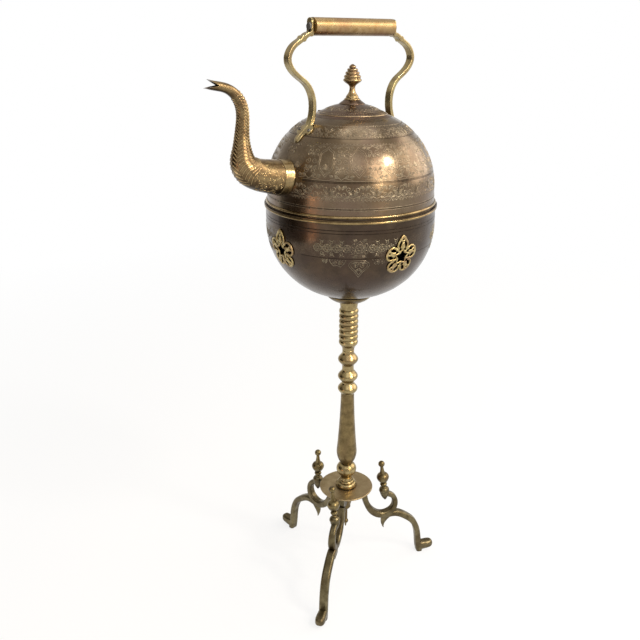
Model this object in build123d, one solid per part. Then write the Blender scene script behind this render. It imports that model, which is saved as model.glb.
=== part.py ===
from build123d import *
import os
from math import cos, hypot, pi, radians, sin, sqrt

# Brass kettle with a serpent spout, on a charcoal bowl carried by a turned column and three scrolled legs.
# The origin is on the floor under the column's axis. +Z is up and the spout points to -X. Millimetres.

# ---- driving dimensions ----
# stand: the tie rod and the sections it clamps, stacked upward from the hub's lower face
ROD_R = 4.0
ROD_FIT = 0.2                 # gap between the rod and the bores it passes through
NUT_R = 9.0
NUT_H = 7.0
WASHER_T = 1.5
HUB_BOTTOM = 152.0            # above the floor
HUB_H = 28.5
HUB_R = 12.0
HUB_SLOT_DEPTH = 4.0
HUB_CAP_H = 10.0
HUB_CAP_LOW_R = 9.6
DROP_L = 53.0                 # the turned drop that closes the rod's lower end
DROP_NUT_R = 9.0
DROP_STEM_R = 3.4
DROP_BALL_R = 5.2
PLATE_T = 3.0
PLATE_R = 50.0
FOOT_H = 18.0
FOOT_R = 19.4
NECK_R = 10.4                 # the narrow waists between the turned sections
KNOB_H = 32.0
KNOB_R = 18.6
SHAFT_L = 147.0
SHAFT_R = 18.7                # belly, near the bottom
SHAFT_TOP_R = 11.8
BEAD_R = 17.8
BEAD_HALF_H = 9.5
BEAD_LAND = 1.4               # narrow flat round each bead's ridge
BEAD_STEPS = (10.0, 34.5, 67.5)
BEADS_L = 85.5
RIB_COUNT = 7
RIB_PITCH = 9.6
RIB_R = 16.8
RIB_VALLEY_R = 14.8
RIBS_L = 91.5
FLARE_R = 17.6
FLARE_L = 14.0
SAUCER_H = 14.5
SAUCER_R = 40.0

# legs, drawn in their own plane as (distance from the axis, height)
LEG_COUNT = 3
FIRST_LEG_ANGLE = 217.0       # from +X; the first leg stands beside the spout
LEG_T = 16.0
LEG_ROOT_T = 12.0
LEG_ROOT_OUT = 38.0           # how far the squared root reaches past the hub
LEG_KNEE_DROP = 54.0          # from the hub's lower face down to the outer bend
LEG_HEEL_AT = 154.0
LEG_TOE_L = 31.0
LEG_FINIAL_AT = 78.0
LEG_HEAD_UP = 14.0            # the scroll's head above the hub's lower face
LEG_HEAD_R = 10.0
LEG_HEAD_L = 30.0
FINIAL_BASE_R = 5.0
LEG_FINIAL_L = 59.0
FINIAL_LEANS = ((6, 7), (7, 0), (0, 0))   # degrees inward and sideways, leg by leg, as cast

# brazier bowl
BOWL_SHEET = 1.5
BOWL_CURVE_R = 123.0
BOWL_FLAT_R = 13.5            # the bowl's curve starts here, so its greatest radius is the sum
BOWL_BORDER_H = 32.0          # upright border above the curve
BEAD_H = 4.6
BEAD_OUT = 2.2
VENT_ANGLES = (0, 90, 180, 266.4)   # the last was cut a little off its quarter
VENT_R = 22.0
VENT_DROP = 58.0              # vent centres below the rim
ROSETTE_T = 2.6
ROSETTE_LOBES = 5
ROSETTE_LOBE_R = 10.4
ROSETTE_LOBE_AT = 15.4
ROSETTE_EYE_AT = 26.0         # a small ringed eye at the end of each lobe
EYE_RING_R = 4.4
EYE_HOLE_R = 1.7
ROSETTE_TOP_TIP = 37.0        # the top lobe is drawn up to a point
STAR_OUTER_R = 11.0
STAR_INNER_R = 5.8
SLIT_AT = 18.0
SLIT_L = 8.6
SLIT_W = 3.0
GRATE_R = 110.0
GRATE_T = 2.5
GRATE_HOLE_R = 5.0
GRATE_GAP = 0.4

# kettle
SHEET = 1.2
KETTLE_SET_IN = 2.1           # the shell's foot inside the bowl's outside
KETTLE_DRAFT = 1.6            # the wall leans in this much from its foot to the dome
KETTLE_WALL_H = 27.5
DOME_OFFSET = 17.5            # the dome's curve starts this far from the axis
PAN_FIT = 1.0                 # all round, between the pan and the bowl
PAN_DEPTH = 29.0
PAN_CORNER_R = 12.0
SEAM_BAND_UP = 2.8
LID_R = 61.0
LID_GAP = 0.5
LID_SHEET = 1.5
SEAT_LAP = 8.0
COLLAR_DEPTH = 7.0
LID_BORDER_W = 15.0           # the lid's outer border is a plain cone this wide
LID_BORDER_RISE = 7.8
LID_RISE = 9.4                # from the border to the finial's foot
FINIAL_FOOT_R = 20.0
FINIAL_H = 57.4
FINIAL_R = 14.9
FINIAL_RINGS = 5
STUD_L = 10.0

# spout
SPOUT_WALL = 1.2
SPOUT_COLLAR_R = 28.0
SPOUT_COLLAR_L = 30.0
MOUTH_DEPTH = 22.5            # how far the parted jaws are cut back from the lip

# handle
ARM_FOOT_AT = 84.0
ARM_W = 13.0
ARM_T = 6.0
TAB_T = 5.0
TAB_UP = 12.0                 # the tabs end level with the top of the grip
ARM_KNUCKLE_R = 4.3
LEAF_T = 2.4
LEAF_RIB_H = 1.4
GRIP_UP = 138.3               # the grip above the arms' feet
GRIP_R = 12.3
GRIP_L = 150.0
GRIP_WALL = 1.2
GRIP_CAP_T = 2.0
GRIP_ROD_R = 4.0
GRIP_ROD_FIT = 0.1            # gap between the rod and the holes in the tabs and the tube's ends
ROD_HEAD_LIP = 2.0            # how far the rod's riveted heads reach past its shank
RIVET_R = 1.6
RIVET_HEAD_R = 2.8
RIVET_HEAD_H = 1.2
RIVET_CLOSE_H = 1.0           # flat closing head inside the dome

# lid hinge, at +Y
HINGE_OUT = 5.5               # hinge line outside the lid's edge
HINGE_PIN_R = 1.25
HINGE_PIN_FIT = 0.1
KNUCKLE_R = 2.6
KNUCKLE_GAP = 0.3
LEAF_W = 30.0
LEAF_L = 17.0
HINGE_SHEET = 1.2
CENTRE_KNUCKLE_L = 9.6

TOUCH = 0.3                   # gap kept where curved faces of different bodies would touch
OVER = 1.0                    # how far a cutting tool runs past the face it cuts
TIP_R = 1.2                   # small flat left by the lathe at the tip of a drop or a ball

# ---- values worked out from them ----
BORE_R = ROD_R + ROD_FIT
PLATE_BOTTOM = HUB_BOTTOM + HUB_H
PLATE_TOP = PLATE_BOTTOM + PLATE_T
FOOT_TOP = PLATE_TOP + FOOT_H
KNOB_TOP = FOOT_TOP + KNOB_H
SHAFT_TOP = KNOB_TOP + SHAFT_L
BEADS_TOP = SHAFT_TOP + BEADS_L
FLARE_TOP = BEADS_TOP + RIBS_L
BOWL_BOTTOM = FLARE_TOP + SAUCER_H
BOWL_FLOOR = BOWL_BOTTOM + BOWL_SHEET
BOWL_CURVE_Z = BOWL_BOTTOM + BOWL_CURVE_R
BOWL_RIM_TOP = BOWL_CURVE_Z + BOWL_BORDER_H
BOWL_R = BOWL_FLAT_R + BOWL_CURVE_R
VENT_HEIGHT = BOWL_RIM_TOP - VENT_DROP
LEG_KNEE = HUB_BOTTOM - LEG_KNEE_DROP
LEG_HEAD_TOP = HUB_BOTTOM + LEG_HEAD_UP
KETTLE_FOOT_R = BOWL_R - KETTLE_SET_IN
KETTLE_R = KETTLE_FOOT_R - KETTLE_DRAFT
KETTLE_CURVE_R = KETTLE_R - DOME_OFFSET
DOME_BASE = BOWL_RIM_TOP + KETTLE_WALL_H
PAN_R = BOWL_R - BOWL_SHEET - PAN_FIT
PAN_BOTTOM = BOWL_RIM_TOP - PAN_DEPTH
SEAT_R = LID_R - SEAT_LAP
LID_CONE_R = LID_R - LID_BORDER_W
HINGE_Y = LID_R + HINGE_OUT
GRIP_HALF = GRIP_L / 2


def dome_z(radius, offset=0.0):
    """Height of the kettle's dome, offset outward, at a distance from the axis."""
    return DOME_BASE + sqrt((KETTLE_CURVE_R + offset) ** 2 - (radius - DOME_OFFSET) ** 2)


SEAT_TOP = dome_z(LID_R + 2 * SHEET, -SHEET)
LID_EDGE_Z = dome_z(LID_R)
LID_CONE_Z = LID_EDGE_Z + LID_BORDER_RISE
FINIAL_FOOT_Z = LID_CONE_Z + LID_RISE
GRIP_Z = dome_z(ARM_FOOT_AT) + GRIP_UP
HINGE_Z = DOME_BASE + sqrt(
    (KETTLE_CURVE_R + KNUCKLE_R + KNUCKLE_GAP) ** 2 - (HINGE_Y - DOME_OFFSET) ** 2
)


# ---- helpers ----
def turned(outline):
    """A solid turned about the column's axis, from a closed outline drawn as (radius, height)."""
    return revolve(Plane.XZ * make_face(outline), Axis.Z)


def tube(outer_r, inner_r, bottom, top):
    """A plain ring about the column's axis."""
    ring = Circle(outer_r) - Circle(inner_r)
    return Pos(0, 0, bottom) * extrude(ring, top - bottom)


def rod(radius, bottom, top):
    """A plain cylinder about the column's axis."""
    return Pos(0, 0, bottom) * extrude(Circle(radius), top - bottom)


def shell_band(centre_r, centre_z, inner_curve, outer_curve, from_angle, to_angle):
    """A ring between two arcs of one centre, turned about the column's axis."""
    sweep_angle = to_angle - from_angle
    centre = (centre_r, centre_z)
    outer = CenterArc(centre, outer_curve, from_angle, sweep_angle)
    inner = CenterArc(centre, inner_curve, from_angle, sweep_angle)
    ends = Line(outer @ 0, inner @ 0) + Line(outer @ 1, inner @ 1)
    return turned(outer + inner + ends)


def oval(half_w, half_t):
    return Ellipse(half_t, half_w)


def soft_bar(half_w, half_t):
    """A flat-sided section with well rounded corners."""
    return RectangleRounded(2 * half_t, 2 * half_w, 0.72 * min(half_w, half_t))


def member(stations, section=oval):
    """A limb through like sections: (distance from the axis, height, half width, half thickness)."""
    sections = []
    for i, (reach, height, half_w, half_t) in enumerate(stations):
        before = stations[max(i - 1, 0)]
        after = stations[min(i + 1, len(stations) - 1)]
        along = Vector(after[0] - before[0], 0, after[1] - before[1])
        place = Plane(origin=(reach, 0, height), x_dir=(0, 1, 0), z_dir=along)
        sections.append(place * section(half_w, half_t))
    return loft(sections)


def save(name, shape):
    shape.label = name
    export_step(shape, f"parts/{name}.step")


# ---- stand ----
def hub():
    """A drum with a slot for each leg's root; the plate and the cap close the slots."""
    body = rod(HUB_R, HUB_BOTTOM, PLATE_BOTTOM) - rod(BORE_R, HUB_BOTTOM, PLATE_BOTTOM)
    slot = Pos(HUB_R, 0, (HUB_BOTTOM + PLATE_BOTTOM) / 2) * Box(
        2 * HUB_SLOT_DEPTH, LEG_ROOT_T, PLATE_BOTTOM - HUB_BOTTOM
    )
    for i in range(LEG_COUNT):
        body -= Rot(0, 0, FIRST_LEG_ANGLE + i * 360 / LEG_COUNT) * slot
    return body


def hub_cap():
    """A tapered collar that holds the legs' roots up against the plate."""
    low = HUB_BOTTOM - HUB_CAP_H
    outline = Polyline((BORE_R, low), (HUB_CAP_LOW_R, low), (HUB_R, HUB_BOTTOM), (BORE_R, HUB_BOTTOM),
                       close=True)
    return turned(outline)


def drop_nut():
    """A turned drop that closes the rod's lower end: nut, slim stem and a ball with a pointed tip."""
    top = HUB_BOTTOM - HUB_CAP_H
    tip, ball, shoulder = top - DROP_L, top - DROP_L * 0.78, top - 10
    ball_low, ball_high = ball - DROP_BALL_R * 0.85, ball + DROP_BALL_R * 0.75
    outline = Polyline((TIP_R, tip), (0, tip), (0, top), (DROP_NUT_R, top), (DROP_NUT_R, shoulder + 3))
    neck = (DROP_STEM_R, shoulder - 4)
    outline += ThreePointArc((DROP_NUT_R, shoulder + 3), (DROP_NUT_R * 0.8, shoulder), neck)
    outline += Line(neck, (DROP_STEM_R, ball_high))
    outline += ThreePointArc((DROP_STEM_R, ball_high), (DROP_BALL_R, ball), (DROP_BALL_R * 0.5, ball_low))
    taper = (TIP_R * 1.4, (ball_low + tip) / 2)
    outline += ThreePointArc((DROP_BALL_R * 0.5, ball_low), taper, (TIP_R, tip))
    return turned(outline) - rod(BORE_R, top - NUT_H, top)


def leg_scroll():
    """Middle line of the casting's C: down from the hub, round the bottom and up into the curled head."""
    half, top = LEG_T / 2, HUB_BOTTOM
    return (
        (LEG_ROOT_OUT - 2, top + 6, 5.4, half - 1), (LEG_ROOT_OUT + 2, top - 13, 5.4, half),
        (LEG_ROOT_OUT + 9, top - 29, 6, half), (LEG_ROOT_OUT + 20, top - 42, 6.6, half),
        (LEG_ROOT_OUT + 34, top - 48.5, 6.9, half), (LEG_ROOT_OUT + 48, top - 46.5, 6.6, half),
        (LEG_ROOT_OUT + 58, top - 38.5, 5.9, half - 0.6), (LEG_ROOT_OUT + 62, top - 26.5, 5.3, half - 1.2),
        (LEG_ROOT_OUT + 60, top - 14.5, 5, half - 1.8), (LEG_ROOT_OUT + 53, top - 6, 5, half - 2.2),
        (LEG_FINIAL_AT + 3, top - 2, 5.4, half - 2.4),
    )


def leg_branch():
    """Middle line of the outer branch: from the bottom of the C over the knee and down to the heel."""
    half, top, heel = LEG_T / 2, HUB_BOTTOM, LEG_HEEL_AT
    return (
        (LEG_ROOT_OUT + 42, top - 48, 5, half - 1), (LEG_ROOT_OUT + 57, top - 49.5, 6.6, half),
        (heel - 44, LEG_KNEE + 1, 6.4, half), (heel - 30, LEG_KNEE * 0.92, 6.2, half),
        (heel - 16, LEG_KNEE * 0.79, 6, half), (heel - 7, LEG_KNEE * 0.61, 5.8, half),
        (heel - 3, LEG_KNEE * 0.43, 5.8, half), (heel - 1, LEG_KNEE * 0.25, 6, half),
        (heel + 1.5, 7, 6, half), (heel + 4, -7, 6, half),
    )


def leaning(shape, lean):
    """Tip a scroll's head, or the finial on it, inward and sideways about the end of its curl."""
    inward, sideways = lean
    place = Pos(LEG_FINIAL_AT, 0, LEG_HEAD_TOP - LEG_HEAD_L / 2)
    return place * Rot(sideways, -inward, 0) * place.inverse() * shape


def leg_head():
    """The pointed, turned drop that ends the scroll."""
    top, shoulder, tip = LEG_HEAD_TOP, LEG_HEAD_TOP - 8, LEG_HEAD_TOP - LEG_HEAD_L
    outline = Polyline((TIP_R, tip), (0, tip), (0, top), (FINIAL_BASE_R, top))
    outline += ThreePointArc((FINIAL_BASE_R, top), (LEG_HEAD_R * 0.87, top - 3), (LEG_HEAD_R, shoulder))
    outline += Line((LEG_HEAD_R, shoulder), (LEG_HEAD_R - 1, shoulder - 1.6))
    outline += ThreePointArc((LEG_HEAD_R - 1, shoulder - 1.6), (LEG_HEAD_R * 0.68, tip + 10), (TIP_R, tip))
    return Pos(LEG_FINIAL_AT, 0, 0) * turned(outline)


def leg(lean):
    """One leg in the plane of +X: squared root, C scroll with its head, outer branch, spur and slipper."""
    top, heel = HUB_BOTTOM, LEG_HEEL_AT
    root_w = LEG_ROOT_OUT - HUB_R + HUB_SLOT_DEPTH
    body = Pos(LEG_ROOT_OUT - root_w / 2, 0, top + HUB_H / 2) * Box(root_w, LEG_ROOT_T, HUB_H)
    body += member(leg_scroll(), soft_bar) + leaning(leg_head(), lean)
    body += member(leg_branch(), soft_bar)
    spur = LEG_ROOT_OUT + 39
    body += member(((spur + 8, top - 50, 12, 6), (spur + 3, top - 59, 7.6, 6), (spur, top - 68, 4.6, 4.6),
                    (spur, top - 76, 2.2, 2.4), (spur + 1.5, top - 82, 0.8, 0.9)))
    body += member(((heel - 3, 11, 8.6, 7), (heel + 8, 11.6, 9.6, 8.4), (heel + 19, 12.4, 8.8, 9),
                    (heel + 27, 13, 7.4, 7.6), (heel + LEG_TOE_L, 13.2, 3.6, 4)), soft_bar)
    reach = heel + LEG_TOE_L
    return body - Pos(reach / 2, 0, -10) * Box(2 * reach, 40, 20)


def leg_finial():
    """A turned baluster with a ring, a flattened bulb and a ball top, standing on the scroll's head."""
    base = LEG_HEAD_TOP
    tip = base + LEG_FINIAL_L
    outline = Polyline((TIP_R * 2, tip), (0, tip), (0, base), (FINIAL_BASE_R, base))
    outline += ThreePointArc((FINIAL_BASE_R, base), (4.1, base + 1.6), (4.5, base + 3.4))
    outline += ThreePointArc((4.5, base + 3.4), (6.8, base + 7), (4.2, base + 10.6))
    outline += ThreePointArc((4.2, base + 10.6), (9.4, base + 16.2), (12, base + 23))
    outline += ThreePointArc((12, base + 23), (9.8, base + 28.8), (5.3, base + 32))
    outline += ThreePointArc((5.3, base + 32), (3.8, base + 39), (3, base + 47.8))
    outline += ThreePointArc((3, base + 47.8), (6.2, base + 53), (TIP_R * 2, tip))
    return Pos(LEG_FINIAL_AT, 0, 0) * turned(outline)


def base_plate():
    body = tube(PLATE_R, BORE_R, PLATE_BOTTOM, PLATE_TOP)
    return fillet(body.edges().filter_by(GeomType.CIRCLE).group_by(SortBy.RADIUS)[-1], PLATE_T * 0.4)


def column_foot():
    """Cushion, cove and fillet, in shares of the foot's own height."""
    low, top = PLATE_TOP, FOOT_TOP
    cushion, cove, step = low + FOOT_H * 0.53, low + FOOT_H * 0.7, low + FOOT_H * 0.76
    outline = Polyline((NECK_R, top), (BORE_R, top), (BORE_R, low), (FOOT_R - 1, low))
    outline += ThreePointArc((FOOT_R - 1, low), (FOOT_R, low + FOOT_H * 0.2), (FOOT_R * 0.75, cushion))
    outline += ThreePointArc((FOOT_R * 0.75, cushion), (FOOT_R * 0.73, cove), (NECK_R + 1.1, step))
    outline += ThreePointArc((NECK_R + 1.1, step), (NECK_R + 0.3, (step + top) / 2), (NECK_R, top))
    return turned(outline)


def column_knob():
    low = FOOT_TOP
    shoulder, middle = (KNOB_R * 0.75, low + KNOB_H * 0.28), (KNOB_R, low + KNOB_H * 0.56)
    outline = Polyline((NECK_R, KNOB_TOP), (BORE_R, KNOB_TOP), (BORE_R, low), (NECK_R, low))
    outline += ThreePointArc((NECK_R, low), (NECK_R + 0.6, low + KNOB_H * 0.16), shoulder)
    outline += ThreePointArc(shoulder, middle, (NECK_R, KNOB_TOP))
    return turned(outline)


def column_shaft():
    """Vase-shaped shaft: a belly low down and a long slightly hollow taper above it."""
    belly = KNOB_TOP + 28
    outline = Polyline((SHAFT_TOP_R, SHAFT_TOP), (BORE_R, SHAFT_TOP), (BORE_R, KNOB_TOP), (NECK_R, KNOB_TOP))
    outline += ThreePointArc((NECK_R, KNOB_TOP), (16.4, KNOB_TOP + 12), (SHAFT_R, belly))
    outline += ThreePointArc((SHAFT_R, belly), (14.2, (belly + SHAFT_TOP) / 2), (SHAFT_TOP_R, SHAFT_TOP))
    return turned(outline)


def column_beads():
    """Three beads, each swept up to a narrow land round its ridge, with waists between them."""
    outline = Polyline((NECK_R, BEADS_TOP), (BORE_R, BEADS_TOP), (BORE_R, SHAFT_TOP),
                       (SHAFT_TOP_R, SHAFT_TOP))
    here = (SHAFT_TOP_R, SHAFT_TOP)
    middle_r = (NECK_R + BEAD_R) / 2
    for step in BEAD_STEPS:
        middle = SHAFT_TOP + step
        low, high = (NECK_R, middle - BEAD_HALF_H), (NECK_R, middle + BEAD_HALF_H)
        ridge_low, ridge_high = (BEAD_R, middle - BEAD_LAND / 2), (BEAD_R, middle + BEAD_LAND / 2)
        outline += Line(here, low)
        outline += ThreePointArc(low, (middle_r, middle - BEAD_HALF_H * 0.56), ridge_low)
        outline += Line(ridge_low, ridge_high)
        outline += ThreePointArc(ridge_high, (middle_r, middle + BEAD_HALF_H * 0.56), high)
        here = high
    return turned(outline + Line(here, (NECK_R, BEADS_TOP)))


def column_ribs():
    """A row of equal ribs, drawn in below and flared to the saucer above."""
    first = FLARE_TOP - FLARE_L - RIB_COUNT * RIB_PITCH
    outline = Polyline((FLARE_R, FLARE_TOP), (BORE_R, FLARE_TOP), (BORE_R, BEADS_TOP), (NECK_R, BEADS_TOP))
    outline += ThreePointArc((NECK_R, BEADS_TOP), (NECK_R + 1.2, first - 5), (RIB_VALLEY_R, first))
    for i in range(RIB_COUNT):
        low = first + i * RIB_PITCH
        outline += ThreePointArc(
            (RIB_VALLEY_R, low), (RIB_R, low + RIB_PITCH / 2), (RIB_VALLEY_R, low + RIB_PITCH)
        )
    top = first + RIB_COUNT * RIB_PITCH
    flare = (RIB_VALLEY_R + 0.8, top + FLARE_L * 0.57)
    outline += ThreePointArc((RIB_VALLEY_R, top), flare, (FLARE_R, FLARE_TOP))
    return turned(outline)


def bowl_saucer():
    """A shallow dish that spreads the column's top under the bowl."""
    outline = Polyline((FLARE_R, FLARE_TOP), (BORE_R, FLARE_TOP), (BORE_R, BOWL_BOTTOM),
                       (SAUCER_R, BOWL_BOTTOM))
    edge = (SAUCER_R, BOWL_BOTTOM - BOWL_SHEET)
    outline += Line((SAUCER_R, BOWL_BOTTOM), edge)
    outline += ThreePointArc(edge, (SAUCER_R * 0.8, FLARE_TOP + SAUCER_H * 0.38), (FLARE_R, FLARE_TOP))
    return turned(outline)


def tie_rod():
    """The rod that draws hub, column and bowl together."""
    bottom = HUB_BOTTOM - HUB_CAP_H - NUT_H + 0.5
    return rod(ROD_R, bottom, BOWL_FLOOR + WASHER_T + NUT_H + 1.5)


def bowl_nut():
    washer = tube(BOWL_FLAT_R - 0.5, BORE_R, BOWL_FLOOR, BOWL_FLOOR + WASHER_T)
    body = Pos(0, 0, BOWL_FLOOR + WASHER_T) * extrude(RegularPolygon(NUT_R, 6) - Circle(BORE_R), NUT_H)
    return washer + body


# ---- brazier bowl ----
def bowl_profile(offset):
    """The bowl's curve and upright border, moved outward by offset, from its foot to its rim."""
    arc = CenterArc((BOWL_FLAT_R, BOWL_CURVE_Z), BOWL_CURVE_R + offset, -90, 90)
    return arc + Line(arc @ 1, (BOWL_R + offset, BOWL_RIM_TOP))


def brazier_bowl():
    """A raised sheet bowl with a rod hole in its floor and a round air hole under each rosette."""
    floor = BOWL_BOTTOM + BOWL_SHEET
    edges = bowl_profile(0) + bowl_profile(-BOWL_SHEET)
    edges += Line((BOWL_R, BOWL_RIM_TOP), (BOWL_R - BOWL_SHEET, BOWL_RIM_TOP))
    edges += Polyline((BOWL_FLAT_R, BOWL_BOTTOM), (BORE_R, BOWL_BOTTOM), (BORE_R, floor),
                      (BOWL_FLAT_R, floor))
    body = Rot(0, 0, 45) * turned(edges)
    hole = Pos(BOWL_R, 0, VENT_HEIGHT) * Rot(0, 90, 0) * Cylinder(VENT_R, BOWL_R)
    for angle in VENT_ANGLES:
        body -= Rot(0, 0, angle) * hole
    return body


def half_round(inner_r, bottom):
    """A bead with a flat back, wrapped round the outside of a wall."""
    middle = (inner_r + BEAD_OUT, bottom + BEAD_H / 2)
    outline = Line((inner_r, bottom), (inner_r, bottom + BEAD_H))
    outline += ThreePointArc((inner_r, bottom), middle, (inner_r, bottom + BEAD_H))
    return turned(outline)


def rosette_drawing():
    """Five lobes round a star hole, each with two slits and a ringed eye; the top one is pointed."""
    face, holes = Circle(ROSETTE_LOBE_AT), Sketch()
    shoulder, neck = ROSETTE_LOBE_R * 0.8, EYE_RING_R * 0.9
    side_low = ROSETTE_LOBE_AT + ROSETTE_LOBE_R * 0.6
    for i in range(ROSETTE_LOBES):
        turn = Rot(0, 0, i * 360 / ROSETTE_LOBES)
        face += turn * Pos(0, ROSETTE_LOBE_AT) * Circle(ROSETTE_LOBE_R)
        face += turn * Pos(0, ROSETTE_EYE_AT) * Circle(EYE_RING_R)
        hood = Polyline((-shoulder, side_low), (-neck, ROSETTE_EYE_AT), (neck, ROSETTE_EYE_AT),
                        (shoulder, side_low), close=True)
        face += turn * make_face(hood)
        holes += turn * Pos(0, ROSETTE_EYE_AT) * Circle(EYE_HOLE_R)
        for side in (-1, 1):
            place = Pos(side * 4.3, SLIT_AT) * Rot(0, 0, 90 + side * 22)
            holes += turn * place * SlotOverall(SLIT_L, SLIT_W)
    tip = (0, ROSETTE_TOP_TIP)
    face += make_face(Polyline((-EYE_RING_R, ROSETTE_EYE_AT), tip, (EYE_RING_R, ROSETTE_EYE_AT), close=True))
    points = []
    for i in range(2 * ROSETTE_LOBES):
        reach = STAR_OUTER_R if i % 2 == 0 else STAR_INNER_R
        angle = pi / 2 + i * pi / ROSETTE_LOBES
        points.append((reach * cos(angle), reach * sin(angle)))
    return face - holes - make_face(Polyline(*points, close=True))


def vent_rosette():
    """The drawing cut through a layer that lies on the bowl's outside, facing +X."""
    layer = shell_band(BOWL_FLAT_R, BOWL_CURVE_Z, BOWL_CURVE_R, BOWL_CURVE_R + ROSETTE_T, -60, 0)
    layer += tube(BOWL_R + ROSETTE_T, BOWL_R, BOWL_CURVE_Z, BOWL_RIM_TOP - BEAD_H - OVER)
    facing = Plane(origin=(BOWL_R / 2, 0, VENT_HEIGHT), x_dir=(0, 1, 0), z_dir=(1, 0, 0))
    return layer & extrude(facing * rosette_drawing(), BOWL_R)


def fire_grate():
    """A loose drilled disc whose edge rests part-way down inside the bowl."""
    inner_curve = BOWL_CURVE_R - BOWL_SHEET - GRATE_GAP
    bottom = BOWL_CURVE_Z - sqrt(inner_curve ** 2 - (GRATE_R - BOWL_FLAT_R) ** 2)
    face = Circle(GRATE_R) - Circle(GRATE_HOLE_R)
    for ring in (1, 2, 3, 4):
        face -= PolarLocations(ring * GRATE_R / 5, 6 * ring) * Circle(GRATE_HOLE_R)
    return Pos(0, 0, bottom) * extrude(face, GRATE_T)


# ---- kettle ----
def kettle_form(top_r):
    """The kettle's outside as one solid from the seam up, for trimming what is fixed to it."""
    reach = (top_r - DOME_OFFSET) / KETTLE_CURVE_R
    arc_angle = degrees_of(reach)
    arc = CenterArc((DOME_OFFSET, DOME_BASE), KETTLE_CURVE_R, 0, arc_angle)
    bottom = BOWL_RIM_TOP + SHEET
    edges = arc + Line((KETTLE_R, DOME_BASE), (KETTLE_FOOT_R, bottom))
    edges += Polyline((KETTLE_FOOT_R, bottom), (0, bottom), (0, (arc @ 1).Y), arc @ 1)
    return turned(edges)


def degrees_of(cosine):
    """The angle whose cosine is given, in degrees."""
    return Vector(cosine, sqrt(1 - cosine ** 2)).get_angle(Vector(1, 0))


def kettle_shell():
    """Raised dome with the lid's opening, open below, and pierced where the spout joins."""
    hole_r = LID_R + LID_GAP
    centre = (DOME_OFFSET, DOME_BASE)
    inner_r = KETTLE_CURVE_R - SHEET
    outer = CenterArc(centre, KETTLE_CURVE_R, 0, degrees_of((hole_r - DOME_OFFSET) / KETTLE_CURVE_R))
    inner = CenterArc(centre, inner_r, 0, degrees_of((hole_r - DOME_OFFSET) / inner_r))
    bottom = BOWL_RIM_TOP + SHEET
    edges = outer + inner + Line(outer @ 1, inner @ 1)
    edges += Polyline(outer @ 0, (KETTLE_FOOT_R, bottom), (KETTLE_FOOT_R - SHEET, bottom), inner @ 0)
    return turned(edges) - spout_form(-SPOUT_WALL) - foot_rivets(shank_only=True)


def kettle_pan():
    """Drop-in bottom: a flange on the bowl's rim, an upright skirt and a flat floor with a round corner."""
    inner_r = PAN_R - SHEET
    top = BOWL_RIM_TOP
    low = PAN_BOTTOM + PAN_CORNER_R
    bend = sqrt(0.5)
    outer_mid = (PAN_R - PAN_CORNER_R * (1 - bend), low - PAN_CORNER_R * bend)
    small = PAN_CORNER_R - SHEET
    inner_mid = (inner_r - small * (1 - bend), low - small * bend)
    edges = Polyline((PAN_R, low), (PAN_R, top), (BOWL_R + BEAD_OUT, top), (BOWL_R + BEAD_OUT, top + SHEET),
                     (inner_r, top + SHEET), (inner_r, low))
    edges += ThreePointArc((inner_r, low), inner_mid, (inner_r - small, PAN_BOTTOM + SHEET))
    edges += Polyline((inner_r - small, PAN_BOTTOM + SHEET), (0, PAN_BOTTOM + SHEET), (0, PAN_BOTTOM),
                      (PAN_R - PAN_CORNER_R, PAN_BOTTOM))
    edges += ThreePointArc((PAN_R - PAN_CORNER_R, PAN_BOTTOM), outer_mid, (PAN_R, low))
    return turned(edges)


def lid_seat():
    """A flat ring soldered under the dome's edge; the lid rests on it."""
    return tube(LID_R + 2 * SHEET, SEAT_R, SEAT_TOP - SHEET, SEAT_TOP)


# ---- spout ----
def spout_stations():
    """Centre as (distance from the axis, height) and radius, from inside the dome to the open jaws."""
    bends = (
        (-20.8, 21.9, 26.5), (-8.8, 23.9, 26.2), (3.2, 25.9, 25.8), (25.2, 30.1, 24.4), (45.2, 35.7, 22.8),
        (59.2, 45, 21.2), (65.2, 57.5, 17.6), (65.2, 72.5, 13.2), (64.6, 87.5, 10.4), (62.8, 103.5, 9.1),
        (61.8, 119.5, 8.5), (64.6, 133.5, 8.2), (72.2, 145.1, 7.6), (83.7, 153.1, 6.8), (96.2, 156.7, 6.4),
        (108.7, 158.9, 6.3), (121.2, 161.1, 6.2),
    )
    return [(KETTLE_R + out, DOME_BASE + up, radius) for out, up, radius in bends]


def spout_form(offset):
    """The serpent's outside, grown or shrunk by offset, as one solid reaching toward -X."""
    stations = [(reach, up, radius + offset, radius + offset) for reach, up, radius in spout_stations()]
    return Rot(0, 0, 180) * member(stations)


def spout_mouth():
    """A wedge that parts the head into an upper and a longer lower jaw."""
    lip_x, lip_z, lip_r = spout_stations()[-1]
    corner = (MOUTH_DEPTH - lip_x, lip_z - 3)
    reach = MOUTH_DEPTH + 17
    upper = (corner[0] - reach, corner[1] + reach * 0.54)
    lower = (corner[0] - reach, corner[1] - reach * 0.15)
    return extrude(Plane.XZ * make_face(Polyline(corner, upper, lower, close=True)), 20, both=True)


def spout():
    """Hollow serpent, trimmed to the dome at its root and open between its jaws."""
    lip_x, lip_z, lip_r = spout_stations()[-1]
    trim = Pos(-lip_x + 0.5 - 10, 0, lip_z) * Box(20, 40, 60)
    return spout_form(0) - spout_form(-SPOUT_WALL) - kettle_form(LID_R) - spout_mouth() - trim


def spout_collar():
    """A plain polished band round the barrel, against the dome."""
    root, out = spout_stations()[0], spout_stations()[1]
    along = Vector(root[0] - out[0], 0, out[1] - root[1])
    place = Plane(origin=(-root[0], 0, root[1]), x_dir=(0, 1, 0), z_dir=along)
    band = extrude(place * Circle(SPOUT_COLLAR_R), SPOUT_COLLAR_L)
    return band - spout_form(0) - kettle_form(LID_R)


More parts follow.
